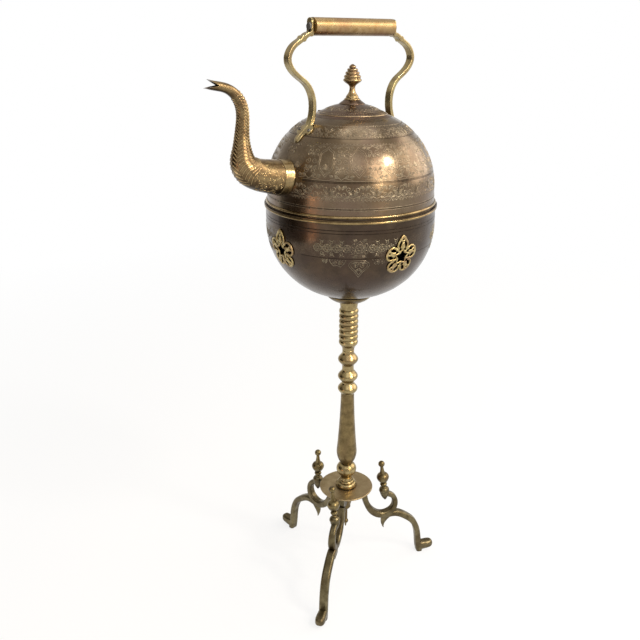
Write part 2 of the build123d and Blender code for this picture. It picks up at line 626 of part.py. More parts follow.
# ---- handle ----
def arm_route():
    """Middle line of one arm, (distance from the axis, height), from the shoulder to the grip's end."""
    foot, low = ARM_FOOT_AT, dome_z(ARM_FOOT_AT)
    return Spline((foot, low - 2.7), (foot - 6.5, low + 13.3), (foot - 8.5, low + 37.3),
                  (foot + 2, low + 60.3), (foot + 22, low + 75.3), (foot + 34, low + 95.3),
                  (GRIP_HALF + 34, GRIP_Z - 26),
                  arm_knuckle_place(), (GRIP_HALF + 7, GRIP_Z - 10), (GRIP_HALF + TAB_T / 2, GRIP_Z),
                  tangents=[(-0.5, 1), (0, 1)])


def arm_knuckle_place():
    return GRIP_HALF + 18, GRIP_Z - 16


def leaf_drawing():
    """Trefoil plate seen from above: one lobe down the shoulder and one to each side."""
    face = Pos(88, 0) * Ellipse(14, 9)
    face += Pos(100, 0) * Circle(7)
    for side in (-1, 1):
        face += Pos(89, side * 10) * Circle(6.5)
    return face


def rivet_places():
    """Each foot rivet's distance from the axis and sideways place, on the +X foot."""
    return ((89, 11.5), (89, -11.5))


def foot_rivets(shank_only=False):
    """Domed rivets through both leaves, square to the dome, with a flat closing head inside."""
    group = Part()
    shank_l = RIVET_CLOSE_H + SHEET + LEAF_T
    for x, y in rivet_places():
        radius = hypot(x, y)
        out = Vector((radius - DOME_OFFSET) * x / radius, (radius - DOME_OFFSET) * y / radius,
                     dome_z(radius) - DOME_BASE).normalized()
        inner_end = Vector(x, y, dome_z(radius)) - out * (SHEET + RIVET_CLOSE_H)
        place = Plane(origin=inner_end, z_dir=out)
        piece = place * extrude(Circle(RIVET_R), shank_l)
        if not shank_only:
            piece += place.offset(shank_l) * extrude(Circle(RIVET_HEAD_R), RIVET_HEAD_H, taper=25)
            piece += place * extrude(Circle(RIVET_HEAD_R), RIVET_CLOSE_H - 0.1)
        for turn in (0, 180):
            group += Rot(0, 0, turn) * piece
    return group


def handle_arm():
    """One arm at +X: S-shaped strip, leaf foot, knuckle and an upright tab spot-faced for the rod."""
    route = Plane.XZ * arm_route()
    start = Plane(origin=route @ 0, x_dir=(0, 1, 0), z_dir=route % 0)
    strip = sweep(start * Rectangle(ARM_W, ARM_T), path=route)
    tab_x, round_z = GRIP_HALF + TAB_T / 2, GRIP_Z + TAB_UP - ARM_W / 2
    tab = Pos(tab_x, 0, round_z) * Rot(0, 90, 0) * Cylinder(ARM_W / 2, TAB_T)
    tab += Pos(tab_x, 0, (round_z + GRIP_Z - 3) / 2) * Box(TAB_T, ARM_W, round_z - GRIP_Z + 3)
    out, up = arm_knuckle_place()
    tab += Pos(out, 0, up) * Rot(90, 0, 0) * Cylinder(ARM_KNUCKLE_R, ARM_W)
    leaf = shell_band(DOME_OFFSET, DOME_BASE, KETTLE_CURVE_R, KETTLE_CURVE_R + LEAF_T, 20, 70)
    leaf &= Pos(0, 0, DOME_BASE) * extrude(leaf_drawing(), KETTLE_CURVE_R + 20)
    rib = shell_band(DOME_OFFSET, DOME_BASE, KETTLE_CURVE_R, KETTLE_CURVE_R + LEAF_T + LEAF_RIB_H, 20, 70)
    rib &= Pos(0, 0, DOME_BASE) * extrude(Pos(93, 0) * Ellipse(13, 2.2), KETTLE_CURVE_R + 20)
    arm = strip + tab + leaf + rib
    arm -= Pos(0, 0, GRIP_Z) * Box(2 * GRIP_HALF, 60, 60)
    bore = Pos(GRIP_HALF, 0, GRIP_Z) * Rot(0, 90, 0) * Cylinder(GRIP_ROD_R + GRIP_ROD_FIT, 60)
    seat_r = GRIP_ROD_R + ROD_HEAD_LIP + 2 * GRIP_ROD_FIT
    head_seat = Pos(GRIP_HALF + TAB_T, 0, GRIP_Z) * Rot(0, 90, 0) * extrude(Circle(seat_r), 12)
    return arm - bore - head_seat - kettle_form(LID_R) - foot_rivets(shank_only=True)


def grip_tube():
    """Rolled tube with closed ends, held between the two tabs."""
    wall = Circle(GRIP_R) - Circle(GRIP_R - GRIP_WALL)
    cap = Circle(GRIP_R) - Circle(GRIP_ROD_R + GRIP_ROD_FIT)
    body = extrude(wall, GRIP_L) + extrude(cap, GRIP_CAP_T)
    body += Pos(0, 0, GRIP_L - GRIP_CAP_T) * extrude(cap, GRIP_CAP_T)
    return Pos(-GRIP_HALF, 0, GRIP_Z) * Rot(0, 90, 0) * body


def grip_rod():
    """Rod through both tabs and the tube, riveted over at each end."""
    head = GRIP_HALF + TAB_T
    body = Cylinder(GRIP_ROD_R, 2 * head)
    for end in (0, 180):
        body += Rot(end, 0, 0) * Pos(0, 0, head) * extrude(Circle(GRIP_ROD_R + ROD_HEAD_LIP), 2, taper=30)
    return Pos(0, 0, GRIP_Z) * Rot(0, 90, 0) * body


# ---- lid ----
def lid_outline(offset):
    """The lid's outside from its edge to the finial's foot, lowered by offset."""
    cone = Line((LID_R, LID_EDGE_Z - offset), (LID_CONE_R, LID_CONE_Z - offset))
    middle = ((LID_CONE_R + FINIAL_FOOT_R) / 2, LID_CONE_Z + LID_RISE * 0.58 - offset)
    rise = ThreePointArc(cone @ 1, middle, (FINIAL_FOOT_R, FINIAL_FOOT_Z - offset))
    return cone + rise


def lid_shell():
    """Sheet lid: a low cone border, a rise to the finial and a flat top with the stud's hole."""
    drop = LID_SHEET
    edges = lid_outline(0) + lid_outline(drop)
    edges += Line((LID_R, LID_EDGE_Z), (LID_R, LID_EDGE_Z - drop))
    edges += Polyline((FINIAL_FOOT_R, FINIAL_FOOT_Z), (BORE_R, FINIAL_FOOT_Z),
                      (BORE_R, FINIAL_FOOT_Z - drop), (FINIAL_FOOT_R, FINIAL_FOOT_Z - drop))
    rest = tube(LID_R, LID_R - 2, SEAT_TOP, LID_EDGE_Z - 0.1)
    return turned(edges) + rest


def lid_collar():
    """Locating ring soldered inside the lid; it drops through the seat."""
    outer = SEAT_R - 2 * TOUCH
    rise = LID_BORDER_RISE * (LID_R - outer) / LID_BORDER_W
    top = LID_EDGE_Z + rise - LID_SHEET
    return tube(outer, outer - SHEET, SEAT_TOP - COLLAR_DEPTH, top)


def lid_finial():
    """Beehive knob of stacked rings on a flared foot, with its stud through the lid."""
    foot, neck, skirt = FINIAL_FOOT_Z, FINIAL_FOOT_Z + FINIAL_H * 0.435, FINIAL_FOOT_Z + FINIAL_H * 0.55
    tip = FINIAL_FOOT_Z + FINIAL_H
    outline = Polyline((0, tip), (0, foot), (FINIAL_FOOT_R, foot), (FINIAL_FOOT_R, foot + 0.8))
    outline += Spline((FINIAL_FOOT_R, foot + 0.8), (12.5, foot + 7), (7.6, foot + 14), (4.9, neck))
    outline += ThreePointArc((4.9, neck), (5.6, neck + 4), (FINIAL_R - 0.6, skirt))
    ring_h = (tip - skirt) / FINIAL_RINGS
    here = (FINIAL_R - 0.6, skirt)
    for i in range(FINIAL_RINGS):
        wide = FINIAL_R * (1 - ((i + 0.5) / FINIAL_RINGS) ** 2) ** 0.75
        after = FINIAL_R * (1 - ((i + 1) / FINIAL_RINGS) ** 2) ** 0.75
        end = (max(after - 0.9, TIP_R), skirt + (i + 1) * ring_h)
        outline += ThreePointArc(here, (wide, skirt + (i + 0.45) * ring_h), end)
        here = end
    outline += Line(here, (0, tip))
    return turned(outline) + rod(ROD_R, foot - STUD_L, foot)


def lid_nut():
    thick = STUD_L / 2
    face = RegularPolygon(NUT_R - 1.5, 6) - Circle(BORE_R)
    return Pos(0, 0, FINIAL_FOOT_Z - LID_SHEET - thick) * extrude(face, thick)


# ---- lid hinge ----
def knuckle(length, x):
    """One rolled knuckle about the hinge line, centred at x."""
    ring = Circle(KNUCKLE_R) - Circle(HINGE_PIN_R + HINGE_PIN_FIT)
    return Pos(x - length / 2, HINGE_Y, HINGE_Z) * Rot(0, 90, 0) * extrude(ring, length)


def hinge_bore():
    return Pos(0, HINGE_Y, HINGE_Z) * Rot(0, 90, 0) * Cylinder(HINGE_PIN_R + HINGE_PIN_FIT, LEAF_W + 10)


def hinge_leaf_kettle():
    """Leaf on the dome with the two outer knuckles."""
    side_l = (LEAF_W - CENTRE_KNUCKLE_L) / 2 - KNUCKLE_GAP
    leaf = shell_band(DOME_OFFSET, DOME_BASE, KETTLE_CURVE_R, KETTLE_CURVE_R + HINGE_SHEET, 20, 75)
    leaf &= Pos(0, HINGE_Y + LEAF_L / 2, HINGE_Z) * Box(LEAF_W, LEAF_L, 60)
    body = leaf
    for side in (-1, 1):
        x = side * (LEAF_W / 2 - side_l / 2)
        body += knuckle(side_l, x)
    gap_l = CENTRE_KNUCKLE_L + 2 * KNUCKLE_GAP
    gap = Pos(0, HINGE_Y, HINGE_Z) * Box(gap_l, 2 * KNUCKLE_R + 1.2, 2 * KNUCKLE_R + 8)
    return body - gap - hinge_bore()


def hinge_leaf_lid():
    """Leaf on the lid's cone border with the centre knuckle."""
    rise = LID_BORDER_RISE / LID_BORDER_W
    inner_y = LID_CONE_R + 2
    lift = HINGE_SHEET * hypot(1, rise)
    inner_z = LID_EDGE_Z + rise * (LID_R - inner_y)
    edges = Polyline((LID_R, LID_EDGE_Z), (inner_y, inner_z), (inner_y, inner_z + lift),
                     (LID_R, LID_EDGE_Z + lift), close=True)
    leaf = turned(edges) & Pos(0, (inner_y + LID_R) / 2, LID_EDGE_Z) * Box(LEAF_W, LID_R - inner_y + 4, 60)
    web_low, web_high = LID_EDGE_Z + 0.1, LID_EDGE_Z + lift
    web = Pos(0, (LID_R - 2 + HINGE_Y) / 2, (web_low + web_high) / 2) * Box(
        CENTRE_KNUCKLE_L, HINGE_Y - LID_R + 2, web_high - web_low
    )
    lid_solid = turned(lid_outline(0) + Polyline((LID_R, LID_EDGE_Z), (LID_R, DOME_BASE), (0, DOME_BASE),
                                                 (0, FINIAL_FOOT_Z), (FINIAL_FOOT_R, FINIAL_FOOT_Z)))
    return leaf + (web - lid_solid) + knuckle(CENTRE_KNUCKLE_L, 0) - hinge_bore()


def hinge_pin():
    return Pos(0, HINGE_Y, HINGE_Z) * Rot(0, 90, 0) * Cylinder(HINGE_PIN_R, LEAF_W + 2)


# ---- write every piece ----
os.makedirs("parts", exist_ok=True)
save("hub", hub())
save("hub_cap", hub_cap())
save("drop_nut", drop_nut())
for i in range(LEG_COUNT):
    turn = Rot(0, 0, FIRST_LEG_ANGLE + i * 360 / LEG_COUNT)
    save(f"leg_{i + 1}", turn * leg(FINIAL_LEANS[i]))
    save(f"leg_finial_{i + 1}", turn * leaning(leg_finial(), FINIAL_LEANS[i]))
save("base_plate", base_plate())
save("column_foot", column_foot())
save("column_knob", column_knob())
save("column_shaft", column_shaft())
save("column_beads", column_beads())
save("column_ribs", column_ribs())
save("bowl_saucer", bowl_saucer())
save("tie_rod", tie_rod())
save("bowl_nut", bowl_nut())
save("brazier_bowl", brazier_bowl())
save("bowl_rim", half_round(BOWL_R, BOWL_RIM_TOP - BEAD_H))
for i, angle in enumerate(VENT_ANGLES):
    save(f"vent_rosette_{i + 1}", Rot(0, 0, angle) * vent_rosette())
save("fire_grate", fire_grate())
save("kettle_shell", kettle_shell())
save("kettle_seam_band", half_round(KETTLE_FOOT_R, BOWL_RIM_TOP + SEAM_BAND_UP))
save("kettle_pan", kettle_pan())
save("lid_seat", lid_seat())
save("spout", spout())
save("spout_collar", spout_collar())
save("handle_arm_rear", handle_arm())
save("handle_arm_front", Rot(0, 0, 180) * handle_arm())
save("handle_rivets", foot_rivets())
save("grip_tube", grip_tube())
save("grip_rod", grip_rod())
save("lid_shell", lid_shell())
save("lid_collar", lid_collar())
save("lid_finial", lid_finial())
save("lid_nut", lid_nut())
save("hinge_leaf_kettle", hinge_leaf_kettle())
save("hinge_leaf_lid", hinge_leaf_lid())
save("hinge_pin", hinge_pin())
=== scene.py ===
from math import asin, cos, hypot, pi, radians, sin, sqrt, tau

import bpy
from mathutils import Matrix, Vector
from mathutils.bvhtree import BVHTree


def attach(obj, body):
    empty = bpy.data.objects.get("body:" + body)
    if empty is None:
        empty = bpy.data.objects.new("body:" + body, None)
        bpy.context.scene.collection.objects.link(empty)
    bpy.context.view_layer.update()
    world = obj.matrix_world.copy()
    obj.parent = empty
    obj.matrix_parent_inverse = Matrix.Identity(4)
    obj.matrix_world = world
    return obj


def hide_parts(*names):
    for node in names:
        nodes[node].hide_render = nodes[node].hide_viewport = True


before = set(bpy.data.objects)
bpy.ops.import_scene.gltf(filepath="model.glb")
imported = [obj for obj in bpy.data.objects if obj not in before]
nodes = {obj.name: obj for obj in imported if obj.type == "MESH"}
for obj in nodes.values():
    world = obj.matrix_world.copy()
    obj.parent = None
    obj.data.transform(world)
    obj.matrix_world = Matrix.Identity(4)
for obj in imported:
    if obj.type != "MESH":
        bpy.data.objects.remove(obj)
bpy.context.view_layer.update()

bpy.ops.object.select_all(action="DESELECT")


# ---------------------------------------------------------------- the studio
# A roll of white paper covers the floor and hangs far behind. Soft lamps stand round it: a small bright
# window at the right with a narrow strip below it, two wide ones behind them and further right, and
# weaker ones at the left, overhead and low down. A dark card stands at the left.
def linear(hex_colour):
    """An sRGB hex colour as the linear colour that Blender's sockets take."""
    parts = [int(hex_colour[i:i + 2], 16) / 255 for i in (1, 3, 5)]
    return tuple(c / 12.92 if c <= 0.04045 else ((c + 0.055) / 1.055) ** 2.4 for c in parts) + (1.0,)


def node(tree, kind, settings=(), **links):
    """One shader node. Settings and links go by property name, by input name, or by inN for its number."""
    made = tree.nodes.new(kind)

    def socket(name):
        numbered = name[:2] == "in" and name[2:].isdigit()
        return made.inputs[int(name[2:]) if numbered else name.replace("_", " ")]

    for name, value in dict(settings).items():
        if hasattr(made, name):
            setattr(made, name, value)
        else:
            socket(name).default_value = value
    for name, source in links.items():
        tree.links.new(source, socket(name))
    return made


def new_material(name):
    material = bpy.data.materials.new(name)
    material.use_nodes = True
    material.node_tree.nodes.clear()
    return material, material.node_tree


# Matt white studio paper: it has no gloss, takes the object's soft shadow near the feet, and further out
# reads as plain white both to the eye and in the metal that mirrors it.
paper, tree = new_material("white_paper_floor")
path = node(tree, "ShaderNodeLightPath").outputs
seen = node(tree, "ShaderNodeMath", {"operation": "MAXIMUM"}, in0=path["Is Camera Ray"],
            in1=path["Is Glossy Ray"]).outputs[0]
seen = node(tree, "ShaderNodeMath", {"operation": "MAXIMUM"}, in0=seen,
            in1=path["Is Transmission Ray"]).outputs[0]
lit = node(tree, "ShaderNodeBsdfDiffuse", {"Color": linear("#f4f3f0")})
glow = node(tree, "ShaderNodeEmission", {"Color": linear("#ffffff"), "Strength": 1.0})
spread = node(tree, "ShaderNodeVectorMath", {"operation": "LENGTH"},
              in0=node(tree, "ShaderNodeTexCoord").outputs["Object"]).outputs["Value"]
SHADOWED_TO_M, ALL_WHITE_FROM_M, WHITE_NEAR = 0.5, 2.4, 0.8
bare = node(tree, "ShaderNodeMapRange", {"From Min": SHADOWED_TO_M, "From Max": ALL_WHITE_FROM_M,
                                         "To Min": WHITE_NEAR, "To Max": 1.0}, Value=spread).outputs[0]
weight = node(tree, "ShaderNodeMath", {"operation": "MULTIPLY"}, in0=seen, in1=bare)
mixed = node(tree, "ShaderNodeMixShader", {}, Fac=weight.outputs[0], in1=lit.outputs[0],
             in2=glow.outputs[0])
node(tree, "ShaderNodeOutputMaterial", {}, Surface=mixed.outputs[0])

UNDER_FEET_M = 0.0002
bpy.ops.mesh.primitive_plane_add(size=60, location=(0, 0, -UNDER_FEET_M))
floor = bpy.context.object
floor.name = "paper_floor"
floor.data.materials.append(paper)
floor.select_set(False)


def upright(name, place, turn, width, height, material):
    """A flat sheet stood on edge round this place (metres), turned by degrees from facing along Y."""
    bpy.ops.mesh.primitive_plane_add(size=1, location=place, rotation=(radians(90), 0, radians(turn)))
    sheet = bpy.context.object
    sheet.name = name
    sheet.scale = (width, height, 1)
    bpy.ops.object.transform_apply(location=True, rotation=True, scale=True)
    sheet.data.materials.append(material)
    sheet.select_set(False)


# The same paper hangs far behind, so that it meets the floor without a line.
upright("paper_wall", (9.0, 11.6, 2.0), -37.9, 26, 5, paper)

# Card painted a flat dark brown: out of the camera's sight, it gives the left side of every curve a dark
# edge to mirror, without which the round metal would look flat there.
card_paint, tree = new_material("dark_card")
flat = node(tree, "ShaderNodeBsdfDiffuse", {"Color": linear("#37312a")})
node(tree, "ShaderNodeOutputMaterial", {}, Surface=flat.outputs[0])
upright("dark_card", (-1.75, 1.05, 0.85), 59, 1.9, 1.7, card_paint)

# The room past the paper is a plain warm grey on every side.
world = bpy.data.worlds.new("studio")
bpy.context.scene.world = world
world.use_nodes = True
tree = world.node_tree
tree.nodes.clear()
room = node(tree, "ShaderNodeBackground", {"Color": linear("#c9c5bf"), "Strength": 1.0})
node(tree, "ShaderNodeOutputWorld", {}, Surface=room.outputs[0])

KETTLE_MIDDLE_M = 0.78


def lamp(name, direction, distance, width, height, power, colour):
    """A flat soft lamp (metres, watts) that stands in this direction from the kettle and faces it."""
    data = bpy.data.lights.new(name, "AREA")
    data.shape = "RECTANGLE"
    data.size, data.size_y, data.energy = width, height, power
    data.color = linear(colour)[:3]
    made = bpy.data.objects.new(name, data)
    bpy.context.scene.collection.objects.link(made)
    towards = Vector(direction).normalized()
    made.location = Vector((0, 0, KETTLE_MIDDLE_M)) + towards * distance
    made.rotation_euler = towards.to_track_quat("Z", "Y").to_euler()


lamp("window_lamp", (0.302, -0.73, 0.613), 2.2, 0.26, 0.34, 16, "#fffaf2")
lamp("strip_lamp", (0.035, -1.0, 0.17), 2.2, 0.05, 0.85, 4, "#ffe9c4")
lamp("wide_lamp", (0.12, -0.86, 0.46), 2.8, 1.5, 1.7, 40, "#fff1e0")
lamp("right_lamp", (0.88, -0.28, 0.36), 2.7, 2.4, 2.0, 40, "#fff3e6")
lamp("front_lamp", (-0.50, -0.55, 0.72), 2.7, 1.7, 1.5, 8, "#ffffff")
lamp("top_lamp", (0.12, -0.05, 1.0), 2.4, 1.6, 1.6, 12, "#ffffff")
lamp("warm_lamp", (-0.97, -0.03, -0.2), 1.9, 0.3, 0.3, 0.9, "#ffab62")

# The camera is as high as the grip, a little over a metre away, and looks down from the spout's side.
camera_data = bpy.data.cameras.new("camera")
camera_data.lens = 40.38
camera_data.sensor_width = 36
camera_data.shift_x = -0.02855
camera_data.shift_y = 0.01829
camera = bpy.data.objects.new("camera", camera_data)
bpy.context.scene.collection.objects.link(camera)
camera.location = (-0.72555, -0.89598, 0.97828)
camera.rotation_euler = (radians(67.4263), radians(-0.5137), radians(-37.9026))
bpy.context.scene.camera = camera
bpy.context.scene.view_settings.view_transform = "Standard"


# ---------------------------------------------------------------- tripod legs
# Three legs, each cast in one piece with its scroll and its hoofed foot, filed smooth and never polished
# since. Their roots sit in the hub's slots. A turned finial is screwed to the top of each scroll.
def brass(name, clean, brown, rose, grime_and_shade, roughness, cloud_mm=16.0, grain_mm=0.9, crevice_shade_mm=3.0,
          lathe_mm=0.0, dent_mm=0.0, dent_depth_mm=0.0, underside_shade=0.35, matted=(), fleck="#b3a48a", wax=0.0):
    """Aged brass: clean where it is rubbed, brown and rosy oxide in clouds, and grime in pits. The grime
    colour is also painted as shade, which stands for grime too, into crevices within a given depth, and by
    a given share as painted shade on what faces down. cloud_mm and grain_mm are the sizes of the clouds and
    the pits, lathe_mm is the width of one line that the turning tool left, and dent_mm is the size of a
    dent.
    matted lists the heights (mm) between which a fine punch has stippled the ground with paler flecks,
    and wax is how much of a hard polish is left over it all."""
    material, tree = new_material(name)
    place = node(tree, "ShaderNodeTexCoord").outputs["Object"]
    clouds = node(tree, "ShaderNodeTexNoise", {"Scale": 1000 / cloud_mm, "Detail": 7.0, "Roughness": 0.62},
                  Vector=place).outputs["Fac"]
    worn = node(tree, "ShaderNodeMapRange", {"From Min": 0.36, "From Max": 0.66}, Value=clouds).outputs[0]
    tone = node(tree, "ShaderNodeMix", {"data_type": "RGBA", "in6": linear(brown), "in7": linear(clean)},
                in0=worn).outputs[2]
    # The rosy oxide drifts over areas 2.6 times as large as the clouds.
    drift = node(tree, "ShaderNodeTexNoise", {"Scale": 380 / cloud_mm, "Detail": 4.0, "Distortion": 0.6},
                 Vector=place).outputs["Fac"]
    rosy = node(tree, "ShaderNodeMapRange", {"From Min": 0.48, "From Max": 0.7, "To Max": 0.7},
                Value=drift).outputs[0]
    tone = node(tree, "ShaderNodeMix", {"data_type": "RGBA", "in7": linear(rose)}, in0=rosy,
                in6=tone).outputs[2]
    grain = node(tree, "ShaderNodeTexNoise", {"Scale": 1000 / grain_mm, "Detail": 3.0, "Roughness": 0.6},
                 Vector=place).outputs["Fac"]
    pits = node(tree, "ShaderNodeMapRange", {"From Min": 0.56, "From Max": 0.72, "To Max": 0.55},
                Value=grain).outputs[0]
    tone = node(tree, "ShaderNodeMix", {"data_type": "RGBA", "in7": linear(grime_and_shade)}, in0=pits,
                in6=tone).outputs[2]
    height = node(tree, "ShaderNodeSeparateXYZ", {}, Vector=place).outputs["Z"]
    for low, high in matted:
        above = node(tree, "ShaderNodeMath", {"operation": "GREATER_THAN", "in1": low / 1000}, in0=height)
        below = node(tree, "ShaderNodeMath", {"operation": "LESS_THAN", "in1": high / 1000}, in0=height)
        # The punch marks are drawn about twice as far apart as they really are, so that they show at all.
        punch_mm = 1.5
        punch = node(tree, "ShaderNodeTexVoronoi", {"feature": "F1", "Scale": 1000 / punch_mm},
                     Vector=place)
        mark = node(tree, "ShaderNodeMapRange", {"From Min": 0.42, "From Max": 0.2, "To Max": 0.75},
                    Value=punch.outputs["Distance"]).outputs[0]
        for share in (above.outputs[0], below.outputs[0], worn):
            mark = node(tree, "ShaderNodeMath", {"operation": "MULTIPLY"}, in0=mark, in1=share).outputs[0]
        tone = node(tree, "ShaderNodeMix", {"data_type": "RGBA", "in7": linear(fleck)}, in0=mark,
                    in6=tone).outputs[2]
    # Painted shade: what faces down is darkened towards the grime colour, by the share given for
    # undersides.
    facing = node(tree, "ShaderNodeSeparateXYZ", {},
                  Vector=node(tree, "ShaderNodeNewGeometry").outputs["Normal"]).outputs["Z"]
    underside_shade_share = node(tree, "ShaderNodeMapRange", {"From Min": 0.15, "From Max": -0.75, "To Max": underside_shade},
                  Value=facing).outputs[0]
    tone = node(tree, "ShaderNodeMix", {"data_type": "RGBA", "in7": linear(grime_and_shade)}, in0=underside_shade_share,
                in6=tone).outputs[2]
    # Painted shade, also standing for grime: where an occlusion node finds the metal enclosed within the
    # given depth, the colour runs to the grime colour.
    enclosure = node(tree, "ShaderNodeAmbientOcclusion", {"samples": 4, "Distance": crevice_shade_mm / 1000})
    clear_of_crevice_shade = node(tree, "ShaderNodeMapRange", {"From Min": 0.25, "From Max": 0.8},
                    Value=enclosure.outputs["AO"]).outputs[0]
    tone = node(tree, "ShaderNodeMix", {"data_type": "RGBA", "in6": linear(grime_and_shade)}, in0=clear_of_crevice_shade,
                in7=tone).outputs[2]
    dull = node(tree, "ShaderNodeMapRange", {"From Min": 0.3, "From Max": 0.7, "To Min": roughness + 0.09,
                                             "To Max": roughness - 0.06}, Value=clouds).outputs[0]
    bump = node(tree, "ShaderNodeBump", {"Strength": 0.35, "Distance": 0.00012}, Height=grain)
    if lathe_mm:
        # Drawn several times as coarse as a real tool's lines, or none would show.
        lines = node(tree, "ShaderNodeTexWave", {"bands_direction": "Z", "Scale": 1000 / lathe_mm / 20 * pi,
                                                 "Distortion": 1.2, "Detail": 2.0},
                     Vector=place).outputs["Fac"]
        bump = node(tree, "ShaderNodeBump", {"Strength": 0.3, "Distance": 0.00006}, Height=lines,
                    Normal=bump.outputs[0])
    if dent_mm:
        dents = node(tree, "ShaderNodeTexNoise", {"Scale": 1000 / dent_mm, "Detail": 1.0}, Vector=place)
        bump = node(tree, "ShaderNodeBump", {"Strength": 1.0, "Distance": dent_depth_mm / 1000},
                    Height=dents.outputs["Fac"], Normal=bump.outputs[0])
    shader = node(tree, "ShaderNodeBsdfPrincipled",
                  {"Metallic": 1.0, "Coat Weight": wax, "Coat Roughness": 0.09},
                  Base_Color=tone, Roughness=dull, Normal=bump.outputs[0])
    node(tree, "ShaderNodeOutputMaterial", {}, Surface=shader.outputs[0])
    return material


def finish_as(material, *names):
    """Give CAD nodes their finish; curved faces shade smooth, and edges stay crisp."""
    for name in names:
        piece = nodes[name]
        piece.data.materials.clear()
        piece.data.materials.append(material)
        for polygon in piece.data.polygons:
            polygon.use_smooth = True


# Sand-cast brass, filed and left: a dull olive-brown skin with shallow dips and coarse pits, so that the
# light breaks up along it.
cast_leg_brass = brass("sand_cast_leg_brass", "#82775a", "#584e37", "#5d4f3c", "#221b10", 0.36,
                       cloud_mm=18, grain_mm=1.6, crevice_shade_mm=5, dent_mm=16, dent_depth_mm=0.5)
# Turned brass, never polished since: fine rings run round it, and grime and painted shade darken the
# grooves between its beads.
turned_finial_brass = brass("turned_finial_brass", "#8f815b", "#625437", "#67553f", "#251d11", 0.32,
                            cloud_mm=12, crevice_shade_mm=4, lathe_mm=0.9)
finish_as(cast_leg_brass, "leg_1", "leg_2", "leg_3")
finish_as(turned_finial_brass, "leg_finial_1", "leg_finial_2", "leg_finial_3")


# ---------------------------------------------------------------- hub, drop and plate
# A slotted drum takes the legs' roots; a tapered cap and a turned drop close it from below, and a round
# plate covers it. All are turned brass, drawn together by the rod that runs up the column.

# Turned brass that no cloth reaches: brown, with grime and painted shade in the joints between the parts.
hub_brass = brass("turned_hub_brass", "#8c7b54", "#5b4d33", "#604c38", "#241d12", 0.34, cloud_mm=12,
                  crevice_shade_mm=6, lathe_mm=0.9)
# Faced-off brass plate, dulled by dust and wiping: it shows broad pale patches and no sharp highlight.
plate_brass = brass("turned_plate_brass", "#bdaa84", "#a08d69", "#a38c6c", "#4a3e28", 0.4, cloud_mm=20,
                    grain_mm=1.2, crevice_shade_mm=5)
finish_as(hub_brass, "hub", "hub_cap", "drop_nut")
finish_as(plate_brass, "base_plate")


# ---------------------------------------------------------------- column
# Five turned sections stacked on the plate, held by the rod through them. The shaft has a worn engraved
# ground; the knob, beads and ribs stay brighter, because cloths and hands reach them.

# Turned brass, rubbed in passing: yellow on the ridges with small hard highlights, and brown in the
# hollows, where painted shade darkens it too.
column_brass = brass("turned_column_brass", "#bba87a", "#8b7a54", "#8f7856", "#2b2213", 0.25, cloud_mm=11,
                     crevice_shade_mm=4, lathe_mm=1.0)
# Turned brass whose engraved ground has worn nearly flat: an even dull olive with faint pits.
shaft_brass = brass("engraved_shaft_brass", "#8f7c55", "#6b5c3e", "#705d42", "#382e1b", 0.34, cloud_mm=13,
                    grain_mm=1.2, crevice_shade_mm=5, lathe_mm=1.0)
# Turned brass in the bowl's shadow: a darker brown than the column, with painted shade underneath.
flare_brass = brass("turned_flare_brass", "#8d7a50", "#61533a", "#6b5640", "#2c2315", 0.32, cloud_mm=11,
                    crevice_shade_mm=6, lathe_mm=1.0)
finish_as(column_brass, "column_foot", "column_knob", "column_ribs")
finish_as(shaft_brass, "column_shaft")
finish_as(flare_brass, "bowl_saucer")


def as_mesh(name, data):
    """A drawn curve as the one selected mesh object."""
    made = bpy.data.objects.new(name, data)
    bpy.context.scene.collection.objects.link(made)
    bpy.ops.object.select_all(action="DESELECT")
    made.select_set(True)
    bpy.context.view_layer.objects.active = made
    bpy.ops.object.convert(target="MESH")
    made = bpy.context.object
    made.name = name
    return made


def face_outward():
    """Turn the selected mesh's faces outward."""
    bpy.ops.object.mode_set(mode="EDIT")
    bpy.ops.mesh.select_all(action="SELECT")
    bpy.ops.mesh.normals_make_consistent(inside=False)
    bpy.ops.object.mode_set(mode="OBJECT")


MERGE_M = 0.00001
LATHE_STEPS = 72


def turned(name, profile, material, body, slot, *stands_for):
    """Turn a drawn profile of (radius, height) in mm round the upright axis, as on a lathe."""
    data = bpy.data.curves.new(name, "CURVE")
    data.dimensions = "3D"
    spline = data.splines.new("POLY")
    spline.points.add(len(profile) - 1)
    for point, (r, z) in zip(spline.points, profile):
        point.co = (r / 1000, 0, z / 1000, 1)
    made = as_mesh(name, data)
    lathe = made.modifiers.new("lathe", "SCREW")
    lathe.steps = lathe.render_steps = LATHE_STEPS
    lathe.use_merge_vertices, lathe.merge_threshold = True, MERGE_M
    bpy.ops.object.modifier_apply(modifier="lathe")
    face_outward()
    bpy.ops.object.shade_smooth()
    made.data.materials.clear()
    made.data.materials.append(material)
    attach(made, body)
    if stands_for:
        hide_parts(*stands_for)
    made.select_set(False)


# The three beads are worn round at their ridges, with hollow necks between them.
BEADS_LOW, BEADS_HIGH, BEAD_STEP = 380.5, 466.0, 1.5
BEADS_UP, BEAD_REACH, BEAD_FULLNESS = (10, 34.5, 67.5), 13.0, 0.85
NECK_R, BEAD_R, BEADS_FOOT_R, ROD_HOLE_R = 10.4, 17.8, 11.8, 4.2
bead_line = [(ROD_HOLE_R, BEADS_HIGH)]
for step in range(1 + int((BEADS_HIGH - BEADS_LOW) / BEAD_STEP)):
    z = BEADS_HIGH - BEAD_STEP * step
    swell = max(0.5 + 0.5 * cos(pi * min(abs(z - BEADS_LOW - up) / BEAD_REACH, 1)) for up in BEADS_UP)
    bead_line.append((NECK_R + (BEAD_R - NECK_R) * swell ** BEAD_FULLNESS, z))
bead_line += [(BEADS_FOOT_R, BEADS_LOW), (ROD_HOLE_R, BEADS_LOW), (ROD_HOLE_R, BEADS_HIGH)]
